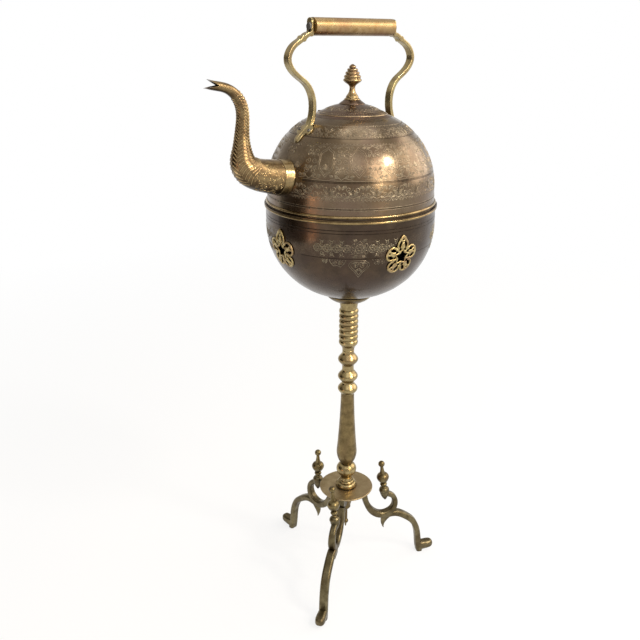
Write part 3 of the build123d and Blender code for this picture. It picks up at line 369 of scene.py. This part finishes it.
turned("worn_beads", bead_line, column_brass, "stand", "stand_brass", "column_beads")

# Plain steel rod and wire, dulled by heat and handling: a soft grey with a brown cast beside the brass.
rod_steel = brass("dull_rod_steel", "#8a8680", "#5c5751", "#5b5049", "#25211d", 0.4, cloud_mm=9)
finish_as(rod_steel, "tie_rod", "bowl_nut", "lid_nut", "handle_rivets", "grip_rod", "hinge_pin")


# ---------------------------------------------------------------- brazier bowl
# Raised from one sheet of brass and browned by the coals it holds. A bead is soldered round its rim. The
# frieze and the pendants between the vents are chased lines, worn paler than the ground.

# Sheet brass raised with a hammer and browned by heat: dark and smooth under a thin old polish, so that
# soft lights slide over broad faint dents. A band of it is stippled.
bowl_brass = brass("raised_bowl_brass", "#574737", "#413529", "#493a32", "#271f18", 0.26, cloud_mm=26,
                   grain_mm=1.1, crevice_shade_mm=4, dent_mm=42, dent_depth_mm=0.7, underside_shade=0.15,
                   matted=((672, 699),), fleck="#7f7260", wax=0.2)
# Drawn half-round wire, soldered on and rubbed by the kettle: a thin yellow line between two dark shells.
rim_brass = brass("drawn_rim_brass", "#ad976b", "#816d49", "#836c4d", "#2c2316", 0.24, cloud_mm=14,
                  crevice_shade_mm=4)
# Iron sheet that has been red hot: a rough black scale with a little rust and no shine.
iron = brass("scaled_grate_iron", "#3b3733", "#26221f", "#3a2a20", "#100e0c", 0.62, cloud_mm=8,
             grain_mm=1.5)
finish_as(bowl_brass, "brazier_bowl")
finish_as(rim_brass, "bowl_rim")
finish_as(iron, "fire_grate")


def ring(x, y, r, steps=10):
    """A stroke round a circle."""
    angles = [tau * i / steps for i in range(steps + 1)]
    return [(x + r * cos(a), y + r * sin(a)) for a in angles]


def curl(x, y, r, start, turns, steps=12):
    """A stroke that starts at this angle (degrees) and winds in; negative turns wind it the other way."""
    wound_in = 0.82
    points = []
    for i in range(steps + 1):
        a = radians(start + 360 * turns * i / steps)
        reach = r * (1 - wound_in * i / steps)
        points.append((x + reach * cos(a), y + reach * sin(a)))
    return points


def leaf(x, y, length, width, angle, vein=True):
    """A pointed leaf from its stalk, with a middle vein."""
    a = radians(angle)

    def placed(u, v):
        return (x + u * length * cos(a) - v * width * sin(a), y + u * length * sin(a) + v * width * cos(a))

    shape = ((0, 0), (0.3, 0.42), (0.62, 0.4), (1, 0), (0.62, -0.4), (0.3, -0.42), (0, 0))
    strokes = [[placed(u, v) for u, v in shape]]
    if vein:
        strokes.append([placed(u, 0) for u in (0.15, 0.5, 0.8)])
    return strokes


def shifted(strokes, by):
    return [[(x + by, y) for x, y in stroke] for stroke in strokes]


def mirrored(strokes):
    return strokes + [[(-x, y) for x, y in stroke] for stroke in strokes]


def line(cell, y, steps=4):
    """A stroke straight across a cell, in enough steps to follow the metal."""
    return [(cell * i / steps, y) for i in range(steps + 1)]


def surface_of(*names):
    """A search tree over CAD nodes, to find where their outside lies."""
    points, faces = [], []
    for name in names:
        start = len(points)
        points += [vertex.co[:] for vertex in nodes[name].data.vertices]
        faces += [[start + i for i in polygon.vertices] for polygon in nodes[name].data.polygons]
    return BVHTree.FromPolygons(points, faces)


def chased(name, strokes, cell, count, skin, width, height, material, body, slot):
    """Strokes drawn flat in one cell (mm), repeated and laid on the metal as low ridges of this width and
    height. skin holds aim, the ground and what covers it: aim(x, y) gives where a ray starts and where it
    heads, and a stroke that would run under a covering piece is left out."""
    aim, ground, cover = skin
    clear_m, same_mm = 0.001, 0.01

    def landed(x, y):
        start, target = aim(x, y)
        way = target - start
        hit, over = ground.ray_cast(start, way), cover.ray_cast(start, way)
        bare = over[0] is None or hit[0] is not None and over[3] > hit[3] + clear_m
        return hit[0], -way.normalized(), hit[0] is not None and hit[3] < way.length and bare

    data = bpy.data.curves.new(name, "CURVE")
    data.dimensions, data.twist_mode, data.use_fill_caps = "3D", "Z_UP", True
    data.bevel_depth, data.bevel_resolution = width / 2, 0
    for turn in range(count):
        for stroke in strokes:
            moved = [(x + turn * cell, y) for x, y in stroke]
            if not all(landed(x, y)[2] for x, y in moved):
                continue
            ends_apart = hypot(moved[0][0] - moved[-1][0], moved[0][1] - moved[-1][1])
            closed = len(moved) > 3 and ends_apart < same_mm
            if closed:
                moved.pop()
            spline = data.splines.new("POLY")
            spline.points.add(len(moved) - 1)
            spline.use_cyclic_u = closed
            for point, (x, y) in zip(spline.points, moved):
                point.co = (x, y, 0, 1)
    made = as_mesh(name, data)
    for vertex in made.data.vertices:
        point, out, _ = landed(vertex.co.x, vertex.co.y)
        if point is None:
            point = aim(vertex.co.x, vertex.co.y)[1]
        vertex.co = point + out * (vertex.co.z * 2 * height / width / 1000)
    face_outward()
    made.data.materials.clear()
    made.data.materials.append(material)
    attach(made, body)
    made.select_set(False)


AIM_FROM_MM = 12


def round_aim(centre_r, centre_z, curve_r, around):
    """Aim square at a raised form whose profile is an arc of curve_r; x runs round it, y up the arc."""
    def aim(x, y):
        turn = x / around * tau
        rise = max(min(y / curve_r, 1.5), -1.5)
        way = Vector((cos(rise) * cos(turn), cos(rise) * sin(turn), sin(rise)))
        middle = Vector((centre_r * cos(turn), centre_r * sin(turn), centre_z))
        return (middle + way * (curve_r + AIM_FROM_MM)) / 1000, middle / 1000
    return aim


def flower(x, y, heart, petals, length, width, first=0):
    """Petals without veins round a heart of this radius."""
    strokes = []
    for i in range(petals):
        angle = first + 360 / petals * i
        a = radians(angle)
        strokes += leaf(x + heart * cos(a), y + heart * sin(a), length, width, angle, False)
    return strokes


# The frieze is one panel between each two vents: a flower in a lozenge with curls and ringed flowers each
# side; below a groove, a heart-shaped palmette hangs between half palmettes. Strokes are in mm, with x from
# the panel's middle and y up along the curve from the bowl's widest.
BOWL_CURVE_R, BOWL_CENTRE_R, BOWL_CENTRE_Z = 123.0, 13.5, 695.0
bowl_round = tau * (BOWL_CURVE_R + BOWL_CENTRE_R)
quarter = bowl_round / 4
middle = quarter / 2
ROW_Y, LINE_OVER, LINE_UNDER, HALF_PANEL = -8.5, 5.4, -22.4, 70
half_frieze = [curl(9, -3, 5, 150, 1.3), curl(9, -14, 5, 210, -1.3)]
half_frieze += leaf(3, 3, 8, 4, 20) + leaf(3, -19, 8, 4, -20)
for x in (19, 34, 49, 64):
    half_frieze += [ring(x, ROW_Y, 6.2), ring(x, ROW_Y, 2.0, 6)]
    half_frieze += flower(x, ROW_Y, 2.2, 6, 3.6, 2.4, first=30)
for x in (26.5, 41.5, 56.5):
    half_frieze += [curl(x, 0, 3.6, 250, 1.2), curl(x, -17, 3.6, 110, -1.2)]
    half_frieze += leaf(x, -12, 7, 3.4, 90)
    half_frieze += [[(x - 3.5, 4), (x, 1.2), (x + 3.5, 4)], [(x - 3.5, -21), (x, -18), (x + 3.5, -21)]]
frieze = [ring(0, ROW_Y, 7.4), ring(0, ROW_Y, 2.4, 8)]
frieze += [[(-11, ROW_Y), (0, 4), (11, ROW_Y), (0, -21), (-11, ROW_Y)]]
frieze += flower(0, ROW_Y, 2.6, 8, 4.6, 3) + mirrored(half_frieze)
frieze += [[(x, y) for x in range(-HALF_PANEL, HALF_PANEL + 1, 5)] for y in (LINE_OVER, LINE_UNDER)]
half_pendant = [[(0, -27), (9, -27.5), (15, -31), (16.5, -36), (13, -41), (7, -47), (0, -58)],
                [(0, -30), (8, -30), (12.6, -33), (13, -36.5), (10, -40), (5, -45.5), (0, -53)],
                curl(5.4, -36, 4.2, 100, 1.3), curl(27, -31, 4, 160, 1.3), curl(37, -31, 3.4, 20, -1.3)]
half_pendant += leaf(2, -42, 7, 3, -60) + leaf(4, -31, 6, 3, -10)
half_pendant += [[(20, -26.5), (24, -34), (29, -38.5), (34, -36), (40, -37), (44, -32), (46, -26.5)]]
half_pendant += leaf(31, -28, 8, 3.6, -95) + leaf(50, -27, 7, 3.6, -70) + leaf(56, -27, 6, 3.2, -100)
half_pendant += [[(x, -26), (x + 2, -27.5)] for x in range(20, 60, 4)]
pendant = mirrored(half_pendant) + [ring(0, -43, 2, 6), ring(0, -33, 1.6, 6)]
# The panels aren't centred between the vents: the chaser set each out two flowers' width past the middle.
PANEL_PAST_MIDDLE = 29
panel = shifted(frieze + pendant, middle + PANEL_PAST_MIDDLE)

# Chased lines, rubbed clean on their crests: paler and greyer than the ground, and dull.
bowl_line_brass = brass("chased_bowl_lines", "#b0a48a", "#7d725e", "#7c6e60", "#3a3125", 0.4, cloud_mm=24,
                        crevice_shade_mm=1)
# Grooves cut with a line tool, drawn as thin raised lines darker than the ground, with no shine.
groove_dark_brass = brass("dark_groove_brass", "#41352a", "#2b231b", "#30251f", "#17120d", 0.45, cloud_mm=10)
on_bowl = (round_aim(BOWL_CENTRE_R, BOWL_CENTRE_Z, BOWL_CURVE_R, bowl_round), surface_of("brazier_bowl"),
           surface_of("vent_rosette_1", "vent_rosette_2", "vent_rosette_3", "vent_rosette_4"))
chased("bowl_chasing", panel, quarter, 4, on_bowl, 1.1, 0.26, bowl_line_brass, "stand", "bowl_brass")
groove_cell = quarter / 10
bowl_grooves = [line(groove_cell, y, 8) for y in (-24.5, 13.4, 18)]
chased("bowl_grooves", bowl_grooves, groove_cell, 40, on_bowl, 1.1, 0.12, groove_dark_brass,
       "stand", "bowl_brass")


# ---------------------------------------------------------------- vent rosettes
# Pierced castings soldered over the bowl's four air holes. The straps are rounded over and kept yellow;
# old polish and painted shade darken the metal between them, and painted shade darkens their undersides.

# Cast and pierced brass, polished often: the straps catch yellow lights, and painted shade makes their feet
# black.
rosette_brass = brass("pierced_rosette_brass", "#d9c78f", "#ab9360", "#b08c6c", "#33261a", 0.3, cloud_mm=6,
                      crevice_shade_mm=3.5, underside_shade=0.6)


def fused(made, voxel_mm, passes):
    """Melt overlapping straps into one casting and round its edges over."""
    bpy.ops.object.select_all(action="DESELECT")
    made.select_set(True)
    bpy.context.view_layer.objects.active = made
    bpy.ops.object.mode_set(mode="EDIT")
    bpy.ops.mesh.select_all(action="SELECT")
    bpy.ops.mesh.remove_doubles(threshold=MERGE_M)
    bpy.ops.mesh.normals_make_consistent(inside=False)
    bpy.ops.object.mode_set(mode="OBJECT")
    remesh = made.modifiers.new("even", "REMESH")
    remesh.mode, remesh.voxel_size = "VOXEL", voxel_mm / 1000
    soften = made.modifiers.new("rounded", "SMOOTH")
    soften.factor, soften.iterations = 0.5, passes
    for modifier in ("even", "rounded"):
        bpy.ops.object.modifier_apply(modifier=modifier)
    bpy.ops.object.shade_smooth()
    made.select_set(False)


# Five petals round a star: each is a looped strap with a middle rib that divides two slits, and a small
# eye at its end. The top petal is drawn up to a point.
petal = [(-6.8, 12.6), (-9.6, 16), (-10.2, 20), (-8.2, 24), (-4.3, 26.6), (0, 27.2), (4.3, 26.6), (8.2, 24),
         (10.2, 20), (9.6, 16), (6.8, 12.6)]
top_petal = [(-6.8, 12.6), (-9.2, 17), (-8.4, 21.5), (-5.4, 26), (-2.6, 30.4), (0, 32.8), (2.6, 30.4),
             (5.4, 26), (8.4, 21.5), (9.2, 17), (6.8, 12.6)]
# The star's points lie at one radius and its hollows at another, where a bar runs out between two petals.
PETALS, STAR_POINT_R, STAR_HOLLOW_R, BAR_FROM_R, BAR_TO_R, EYE_R = 5, 13, 8, 8.4, 17, 2.9
hollow = (sin(pi / PETALS), cos(pi / PETALS))
straps = []
for turn in range(PETALS):
    a = tau * turn / PETALS
    drawn = [top_petal if turn == 0 else petal, [(0, 11.5), (0, 15), (0, 19), (0, 22)],
             [(-3, 13.5), (-1.2, 20), (0, 22)], [(3, 13.5), (1.2, 20), (0, 22)]]
    drawn.append(ring(0, 27.2 if turn == 0 else 23.6, EYE_R))
    drawn.append([(-STAR_HOLLOW_R * hollow[0], STAR_HOLLOW_R * hollow[1]), (0, STAR_POINT_R),
                  (STAR_HOLLOW_R * hollow[0], STAR_HOLLOW_R * hollow[1])])
    drawn.append([(-r * hollow[0], r * hollow[1]) for r in (BAR_FROM_R, BAR_TO_R)])
    straps += [[(x * cos(a) - y * sin(a), x * sin(a) + y * cos(a)) for x, y in stroke] for stroke in drawn]
# Each casting is bent to the bowl. Its straps are round wires pressed to four fifths of their height.
VENT_TURNS, VENT_UP = (0, 90, 180, 266.4), 669.0
STRAP_R, STRAP_FLATNESS, STRAP_OFF_BOWL = 1.8, 0.8, 1.15
for number, turn in enumerate(VENT_TURNS, 1):
    data = bpy.data.curves.new("rosette_straps_%d" % number, "CURVE")
    data.dimensions, data.twist_mode, data.use_fill_caps = "3D", "Z_UP", True
    data.bevel_depth, data.bevel_resolution = STRAP_R, 2
    for stroke in straps:
        spline = data.splines.new("POLY")
        spline.points.add(len(stroke) - 1)
        for point, (x, y) in zip(spline.points, stroke):
            point.co = (x, y, 0, 1)
    strap = as_mesh("rosette_straps_%d" % number, data)
    start = radians(turn)
    for vertex in strap.data.vertices:
        x, y, up = vertex.co
        z = VENT_UP + y
        drop = min(z - BOWL_CENTRE_Z, 0)
        reach = BOWL_CENTRE_R + sqrt(BOWL_CURVE_R ** 2 - drop ** 2)
        a = start + asin(max(min(x / reach, 1), -1))
        tilt = asin(drop / BOWL_CURVE_R)
        out = STRAP_OFF_BOWL + STRAP_FLATNESS * up
        vertex.co = ((reach + out * cos(tilt)) * cos(a) / 1000, (reach + out * cos(tilt)) * sin(a) / 1000,
                     (z + out * sin(tilt)) / 1000)
    fused(strap, voxel_mm=0.45, passes=4)
    strap.data.materials.clear()
    strap.data.materials.append(rosette_brass)
    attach(strap, "stand")
    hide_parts("vent_rosette_%d" % number)


# ---------------------------------------------------------------- kettle body
# A dome raised from sheet brass over a dropped pan that sits in the bowl. The bands round it are chased:
# a scroll border between rows of beads, a wide band of medallions, and a leafy band with a pinked edge.

# Sheet brass raised and planished, with a thin old polish: a warm grey-brown that mirrors softly, with
# broad shallow dents, and stippled in bands so that it sparkles a little between the chased lines.
kettle_brass = brass("raised_kettle_brass", "#84725a", "#6a5a45", "#725d4e", "#403325", 0.26, cloud_mm=30,
                     grain_mm=1.0, crevice_shade_mm=4, dent_mm=46, dent_depth_mm=0.6, underside_shade=0.15,
                     matted=((757, 782), (787, 831), (840.5, 851)), fleck="#a3947c", wax=0.2)
# Drawn wire soldered round the foot, rubbed by hands: a second yellow line above the bowl's rim.
seam_brass = brass("kettle_seam_brass", "#b09a70", "#87724d", "#877050", "#332818", 0.24, cloud_mm=14,
                   crevice_shade_mm=3)
# Spun sheet brass over the coals: dull and brown, with painted shade underneath.
pan_brass = brass("dropped_pan_brass", "#77644a", "#564733", "#5d4a3b", "#2d2418", 0.34, cloud_mm=22)
finish_as(kettle_brass, "kettle_shell")
finish_as(seam_brass, "kettle_seam_band")
finish_as(pan_brass, "kettle_pan", "lid_seat")

DOME_CURVE_R, DOME_CENTRE_R, DOME_CENTRE_Z = 115.3, 17.5, 754.5
dome_round = tau * (DOME_CURVE_R + DOME_CENTRE_R)


def fitted(strokes, width, girth, count):
    """Stretch a cell drawn this wide to go count times round a girth: its strokes, width and count."""
    cell = girth / count
    return [[(x / width * cell, y) for x, y in stroke] for stroke in strokes], cell, count


# Chased lines on the dome, only a shade paler than its ground, for it has been polished for longer.
kettle_line_brass = brass("chased_kettle_lines", "#b9aa90", "#877965", "#8b7763", "#4f4232", 0.36,
                          cloud_mm=34, crevice_shade_mm=1)
on_dome = (round_aim(DOME_CENTRE_R, DOME_CENTRE_Z, DOME_CURVE_R, dome_round), surface_of("kettle_shell"),
           surface_of("spout", "spout_collar", "handle_arm_rear", "handle_arm_front", "hinge_leaf_kettle",
                      "kettle_seam_band", "handle_rivets", "lid_shell"))

# Upper border: a waving stem with a curl in each bend, leaves in the corners.
BORDER_W, STEM_Y, STEM_WAVE = 24.0, 106, 5.5
stem = [(BORDER_W * i / 16, STEM_Y + STEM_WAVE * sin(tau * i / 16)) for i in range(17)]
upper = [stem, curl(6, 105, 4.6, 60, 1.4), curl(18, 107, 4.6, 240, 1.4)]
upper += leaf(0.5, 107, 7, 3.4, 70) + leaf(11, 104, 7, 3.4, -70) + leaf(12.5, 110, 6, 3.2, 20)
upper += leaf(2, 101, 5.5, 3, -30) + leaf(22, 101, 5, 3, -120, False) + leaf(13, 113, 4, 2.4, 170, False)
chased("upper_border", *fitted(upper, BORDER_W, dome_round, 24), on_dome, 1.1, 0.26, kettle_line_brass,
       "kettle", "kettle_brass")

# Wide band: pointed medallions left plain inside, with a fan at the foot, and curling stems between them.
MEDALLION_W = 48.0
half = [[(0, 80), (4, 75.5), (10, 72), (12.5, 66), (11.5, 60), (13, 54), (10, 45), (5, 40), (0, 34)],
        [(0, 76.5), (3, 73), (8, 70), (10.2, 65.5), (9.3, 60), (10.6, 54), (8.2, 46.5), (4, 42), (0, 37.5)]]
for angle in (20, 40, 60, 80):
    a = radians(angle)
    half.append([(1.5 * cos(a), 44 + 1.5 * sin(a)), (7 * cos(a), 44 + 9 * sin(a))])
half += [curl(18, 72, 4.8, 200, 1.5), curl(18, 42, 4.8, 160, -1.5), curl(19, 57, 4.6, 180, 1.4)]
half += leaf(13.5, 76.5, 7, 3.4, 30) + leaf(13.5, 37.5, 7, 3.4, -30) + leaf(14.5, 64.5, 6, 3, 40)
half += leaf(14.5, 50, 6, 3, -40) + leaf(6, 78, 7, 3.2, 12) + leaf(6, 36.5, 7, 3.2, -12)
half += leaf(22, 64.5, 5, 2.6, 75, False) + leaf(22, 49.5, 5, 2.6, -75, False)
half += [[(24, 82), (20, 79), (14, 81), (8, 82.2)], [(24, 31), (20, 34), (14, 32.4), (8, 31.6)]]
wide = shifted(mirrored(half), MEDALLION_W / 2)
chased("medallion_band", *fitted(wide, MEDALLION_W, dome_round, 16), on_dome, 1.1, 0.26, kettle_line_brass,
       "kettle", "kettle_brass")

# Leafy band under the double groove, and its pinked lower edge.
LEAFY_W = 34.0
half = [curl(6, 18, 4.6, 190, 1.4), curl(13, 11, 4.2, 20, -1.4)]
half += leaf(0, 8, 12, 5, 90) + leaf(1, 9, 9, 4, 45) + leaf(9, 21, 6, 3.2, 10) + leaf(15, 17, 6, 3.2, 100)
half += leaf(5, 8, 6, 3, -15) + [[(0, 5), (5, 7.5), (11, 5.5), (17, 7.5)]]
leafy = shifted(mirrored(half), LEAFY_W / 2)
chased("leafy_band", *fitted(leafy, LEAFY_W, dome_round, 24), on_dome, 1.1, 0.26, kettle_line_brass,
       "kettle", "kettle_brass")
pinked = [[(0, 4), (0.5, 0.6), (1, 4)], [(0.5, 3.2), (0.5, 4.6)]]
chased("pinked_edge", *fitted(pinked, 1, dome_round, 144), on_dome, 1.1, 0.26, kettle_line_brass,
       "kettle", "kettle_brass")

# Rows of beads and the fine lines beside them.
beads = [[(0.25, y), (0.25 + w, y)] for y, w in ((117.5, 0.3), (95.6, 0.32), (84.3, 0.34))]
chased("bead_rows", *fitted(beads, 1, dome_round, 132), on_dome, 1.5, 0.4, kettle_line_brass,
       "kettle", "kettle_brass")
fine = [line(1, y) for y in (119.4, 97.4, 82.6, 29.8, -9.2, -12)]
chased("fine_lines", *fitted(fine, 1, dome_round, 60), on_dome, 0.8, 0.16, kettle_line_brass,
       "kettle", "kettle_brass")
dark = [line(1, y) for y in (28.2, 26.6, -10.6, 93.6)]
chased("dome_grooves", *fitted(dark, 1, dome_round, 60), on_dome, 0.9, 0.1, groove_dark_brass,
       "kettle", "kettle_brass")


# ---------------------------------------------------------------- spout
# A serpent, cast in halves and joined: leaves and curls are chased on its barrel and scales up its neck,
# and its back is left smooth. A polished band is soldered round its root.

# Cast brass, filed and kept polished: golden, with grime and painted shade black in the chasing, and
# painted shade black under the barrel.
spout_brass = brass("cast_spout_brass", "#b0966a", "#7a6246", "#82674f", "#1d160d", 0.24, cloud_mm=13,
                    crevice_shade_mm=4, underside_shade=0.9)
# The raised scales and leaves, which a cloth reaches first: the palest and brightest of the cast metal.
spout_line_brass = brass("chased_spout_brass", "#dcc493", "#ab9066", "#a98a66", "#2a2013", 0.22,
                         cloud_mm=13, crevice_shade_mm=2, underside_shade=0.8)
# Sheet brass band, polished plain: a smooth bright ring between the chased barrel and the brown dome.
collar_brass = brass("polished_collar_brass", "#c2a97b", "#94805a", "#977c5c", "#2b2114", 0.22, cloud_mm=13,
                     crevice_shade_mm=2, underside_shade=0.85)
finish_as(spout_brass, "spout")


def copy_of(node_name, name):
    """A copy of a CAD node with a mesh of its own, to be worked on."""
    made = nodes[node_name].copy()
    made.data = nodes[node_name].data.copy()
    made.name = name
    bpy.context.scene.collection.objects.link(made)
    return made


# The band's outer end is dressed down on to the barrel, so that the two run into each other.
WALL_R = DOME_CENTRE_R + DOME_CURVE_R
ROOT_IN, ROOT_UP, DRESSED_FROM, BAND_INSIDE_R, DRESSED_R = 20.8, 21.9, 29, 27, 26.0
root_band = copy_of("spout_collar", "dressed_root_band")
band_start = Vector((ROOT_IN - WALL_R, 0, DOME_CENTRE_Z + ROOT_UP))
band_way = Vector((-12, 0, 2)).normalized()
for vertex in root_band.data.vertices:
    place = vertex.co * 1000 - band_start
    along = place.dot(band_way)
    off = place - band_way * along
    if along > DRESSED_FROM and off.length > BAND_INSIDE_R:
        vertex.co = (band_start + place - off * (1 - DRESSED_R / off.length)) / 1000
fused(root_band, voxel_mm=0.5, passes=3)
root_band.data.materials.clear()
root_band.data.materials.append(collar_brass)
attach(root_band, "kettle")
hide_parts("spout_collar")

# The middle line of the barrel and neck, as (out from the dome's wall, up from its widest).
SPOUT_PATH = ((-8.8, 23.9), (3.2, 25.9), (25.2, 30.1), (45.2, 35.7), (59.2, 45), (65.2, 57.5), (65.2, 72.5),
              (64.6, 87.5), (62.8, 103.5), (61.8, 119.5), (64.6, 133.5), (72.2, 145.1), (83.7, 153.1),
              (96.2, 156.7), (108.7, 158.9))
spout_middle = [Vector((-(WALL_R + out), 0, DOME_CENTRE_Z + up)) for out, up in SPOUT_PATH]
lengths = [0.0]
for before, after in zip(spout_middle, spout_middle[1:]):
    lengths.append(lengths[-1] + (after - before).length)
SPOUT_AIM_MM = 60


def spout_aim(x, y):
    """x runs along the spout's middle line in mm, y round it in degrees from the side facing the grip."""
    i = max(j for j in range(len(lengths) - 1) if lengths[j] <= max(x, 0))
    share = (x - lengths[i]) / (lengths[i + 1] - lengths[i])
    ends = [spout_middle[min(max(j, 0), len(spout_middle) - 1)] for j in (i - 1, i, i + 1, i + 2)]
    point = 0.5 * (2 * ends[1] + (ends[2] - ends[0]) * share
                   + (2 * ends[0] - 5 * ends[1] + 4 * ends[2] - ends[3]) * share ** 2
                   + (3 * ends[1] - ends[0] - 3 * ends[2] + ends[3]) * share ** 3)
    along = ((ends[2] - ends[0]).lerp(ends[3] - ends[1], share)).normalized()
    up = Vector((along.z, 0, -along.x))
    a = radians(y)
    way = up * cos(a) + Vector((0, 1, 0)) * sin(a)
    return (point + way * SPOUT_AIM_MM) / 1000, point / 1000


on_spout = (spout_aim, surface_of("spout"), surface_of("spout_collar", "kettle_shell"))
SCALE_ROWS, SCALES_FROM, SCALE_PITCH = 26, 64, 4.4
scales = []
for row in range(SCALE_ROWS):
    x = SCALES_FROM + row * SCALE_PITCH
    for side in (-1, 1):
        for column, lean in ((44, 26), (84, -26), (124, 26), (160, -18)):
            top, foot = side * (column - lean * 0.7), side * (column + lean * 0.7)
            scales.append([(x + 2.6, top), (x + 0.7, (top + foot) / 2), (x - 2.4, foot)])
chased("spout_scales", scales, 0, 1, on_spout, 2.0, 0.9, spout_line_brass, "kettle", "kettle_brass")
# On the barrel, curls with three leaves each, at (mm along, degrees round) on both sides.
VINE_PLACES = ((22, 58), (33, 84), (44, 58), (55, 86), (24, 112), (40, 116), (54, 122), (65, 100),
               (30, 142), (47, 146))
DEGREES_PER_MM = 2.5
vines = []
for side in (-1, 1):
    for step, (x, y) in enumerate(VINE_PLACES):
        hand = 1 if step % 2 else -1
        drawn = [curl(0, 0, 4.6, 50 * step, hand * 1.3, 10)]
        drawn += flower(0, 0, 4.2, 3, 5.5, 3.2, first=20 + 30 * step)
        vines += [[(x + u, side * (y + v * DEGREES_PER_MM)) for u, v in stroke] for stroke in drawn]
chased("spout_vines", vines, 0, 1, on_spout, 1.3, 0.5, spout_line_brass, "kettle", "kettle_brass")


# ---------------------------------------------------------------- handle
# Two arms cut from thick strip and bent to an S, each with a trefoil foot riveted to the dome, and a
# rolled tube between them for the hand. The arms' faces are dull, their edges rubbed bright.

# Thick brass strip, sawn, filed and rubbed by hands: yellow, with bright rounded edges and duller faces.
arm_brass = brass("rubbed_arm_brass", "#c7b684", "#9a8862", "#9c8665", "#3a2f1b", 0.24, cloud_mm=15,
                  crevice_shade_mm=4)
# Rolled brass tube, the most handled piece: an even pale gold, with painted shade underneath and stains
# where a cloth was tied.
grip_brass = brass("rolled_grip_brass", "#d3b584", "#ad8e5e", "#a87b5c", "#4a3022", 0.3, cloud_mm=12,
                   grain_mm=1.3, crevice_shade_mm=3, underside_shade=0.7)
for name, worn_name in (("handle_arm_rear", "rear_arm_strip"), ("handle_arm_front", "front_arm_strip")):
    strip = copy_of(name, worn_name)
    fused(strip, voxel_mm=0.6, passes=3)
    strip.data.materials.clear()
    strip.data.materials.append(arm_brass)
    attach(strip, "kettle")
    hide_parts(name)
finish_as(grip_brass, "grip_tube")


# ---------------------------------------------------------------- lid
# Raised from sheet brass, with a turned beehive knob that a nut holds from inside. The hinge is at the far
# side, with one leaf soldered to the lid and the other to the dome.

# Thin sheet, hammered and wiped less often than the dome: rosier, with small dents and softer lights.
lid_brass = brass("sheet_lid_brass", "#826e5b", "#6a5849", "#735b52", "#3c3026", 0.28, cloud_mm=22,
                  crevice_shade_mm=3, dent_mm=30, dent_depth_mm=0.4)
# Turned brass that fingers polish: golden on the rings' edges, and painted shade darkens the grooves
# between them.
knob_brass = brass("turned_knob_brass", "#c1a97c", "#927b55", "#9a7c60", "#3d3020", 0.25, cloud_mm=9,
                   crevice_shade_mm=4, lathe_mm=0.8)
finish_as(lid_brass, "lid_shell", "hinge_leaf_kettle", "hinge_leaf_lid", "lid_collar")

# Beehive knob: five worn rings over a cup that draws in to the neck, and a small foot on the lid's peak.
hive = [(0, 935.8), (1.6, 935.5)]
for r, z in ((5.4, 931.6), (8.4, 927.4), (11.0, 922.8), (13.1, 917.8), (14.2, 912.8)):
    hive += [(r - 1.5, z + 2.2), (r - 0.4, z + 1.3), (r, z), (r - 0.3, z - 1.2), (r - 1.3, z - 1.9)]
hive += [(11.6, 909.6), (9.4, 908.2), (6.4, 906.2), (4.7, 904), (4.3, 901.6), (4.5, 899), (5.2, 896.2),
         (6.5, 893.6), (8.2, 891.4), (9.3, 890), (9.8, 889.2), (9.5, 888.6), (10.2, 887.4), (11.6, 886.2),
         (12.6, 885.4), (12.4, 884.4), (4, 884), (4, 868.6), (0, 868.6)]
turned("beehive_knob", hive, knob_brass, "lid", "bright_brass", "lid_finial")
peak = [(4.1, 885.2), (11.8, 885.2), (13.4, 884.0), (15.8, 882.2), (18, 880.6), (20.0, 879.2),
        (20.4, 878.3), (4.1, 878.3), (4.1, 885.2)]
turned("lid_peak", peak, lid_brass, "lid", "kettle_brass")

LID_R, LID_AIM_HIGH, LID_AIM_LOW = 61, 920, 845
lid_round = tau * LID_R


def lid_aim(x, y):
    """x runs round the lid's edge, and y is the distance in from it. The ray leans in as it falls."""
    turn = x / lid_round * tau
    reach = LID_R - y
    way = Vector((cos(turn), sin(turn), 0))
    high = way * (reach + AIM_FROM_MM) + Vector((0, 0, LID_AIM_HIGH))
    return high / 1000, (way * reach * 0.8 + Vector((0, 0, LID_AIM_LOW))) / 1000


on_lid = (lid_aim, surface_of("lid_shell"), surface_of("lid_finial", "hinge_leaf_lid"))
LID_LEAF_W = 16.0
half = [curl(4.6, 24, 2.8, 200, 1.3, 9), [(0, 36), (3.4, 31), (5, 26), (2.6, 21), (0, 18.4)]]
half += leaf(7, 19, 5, 2.6, 110, False) + leaf(0, 24, 6, 2.6, 90, False)
design = shifted(mirrored(half), LID_LEAF_W / 2) + [line(LID_LEAF_W, 17, 8)]
chased("lid_leaves", *fitted(design, LID_LEAF_W, lid_round, 16), on_lid, 0.75, 0.2, kettle_line_brass,
       "lid", "kettle_brass")
ticks = [[(0.5, 6.5), (0.5, 8.1)], [(2.1, 10.8), (2.6, 10.8)]]
chased("lid_ticks", ticks, lid_round / 96, 96, on_lid, 1.1, 0.3, kettle_line_brass, "lid", "kettle_brass")

# The lid's edge is turned over a wire, and the roll is rubbed bright, its pale colour also a painted
# highlight: one thin light line round the lid.
lid_edge_highlight_brass = brass("rubbed_lid_edge_painted_highlight", "#cbb592", "#a28c6c", "#a88c72", "#5a4833", 0.26, cloud_mm=24)
LINE_CELLS, ROLL_IN = 60, 1.1
lid_cell = lid_round / LINE_CELLS
chased("rolled_lid_edge", [line(lid_cell, ROLL_IN)], lid_cell, LINE_CELLS, on_lid, 2.2, 0.9, lid_edge_highlight_brass,
       "lid", "kettle_brass")
lid_lines = [line(lid_cell, y) for y in (4.6, 12.6)]
chased("lid_lines", lid_lines, lid_cell, LINE_CELLS, on_lid, 0.6, 0.14, kettle_line_brass,
       "lid", "kettle_brass")
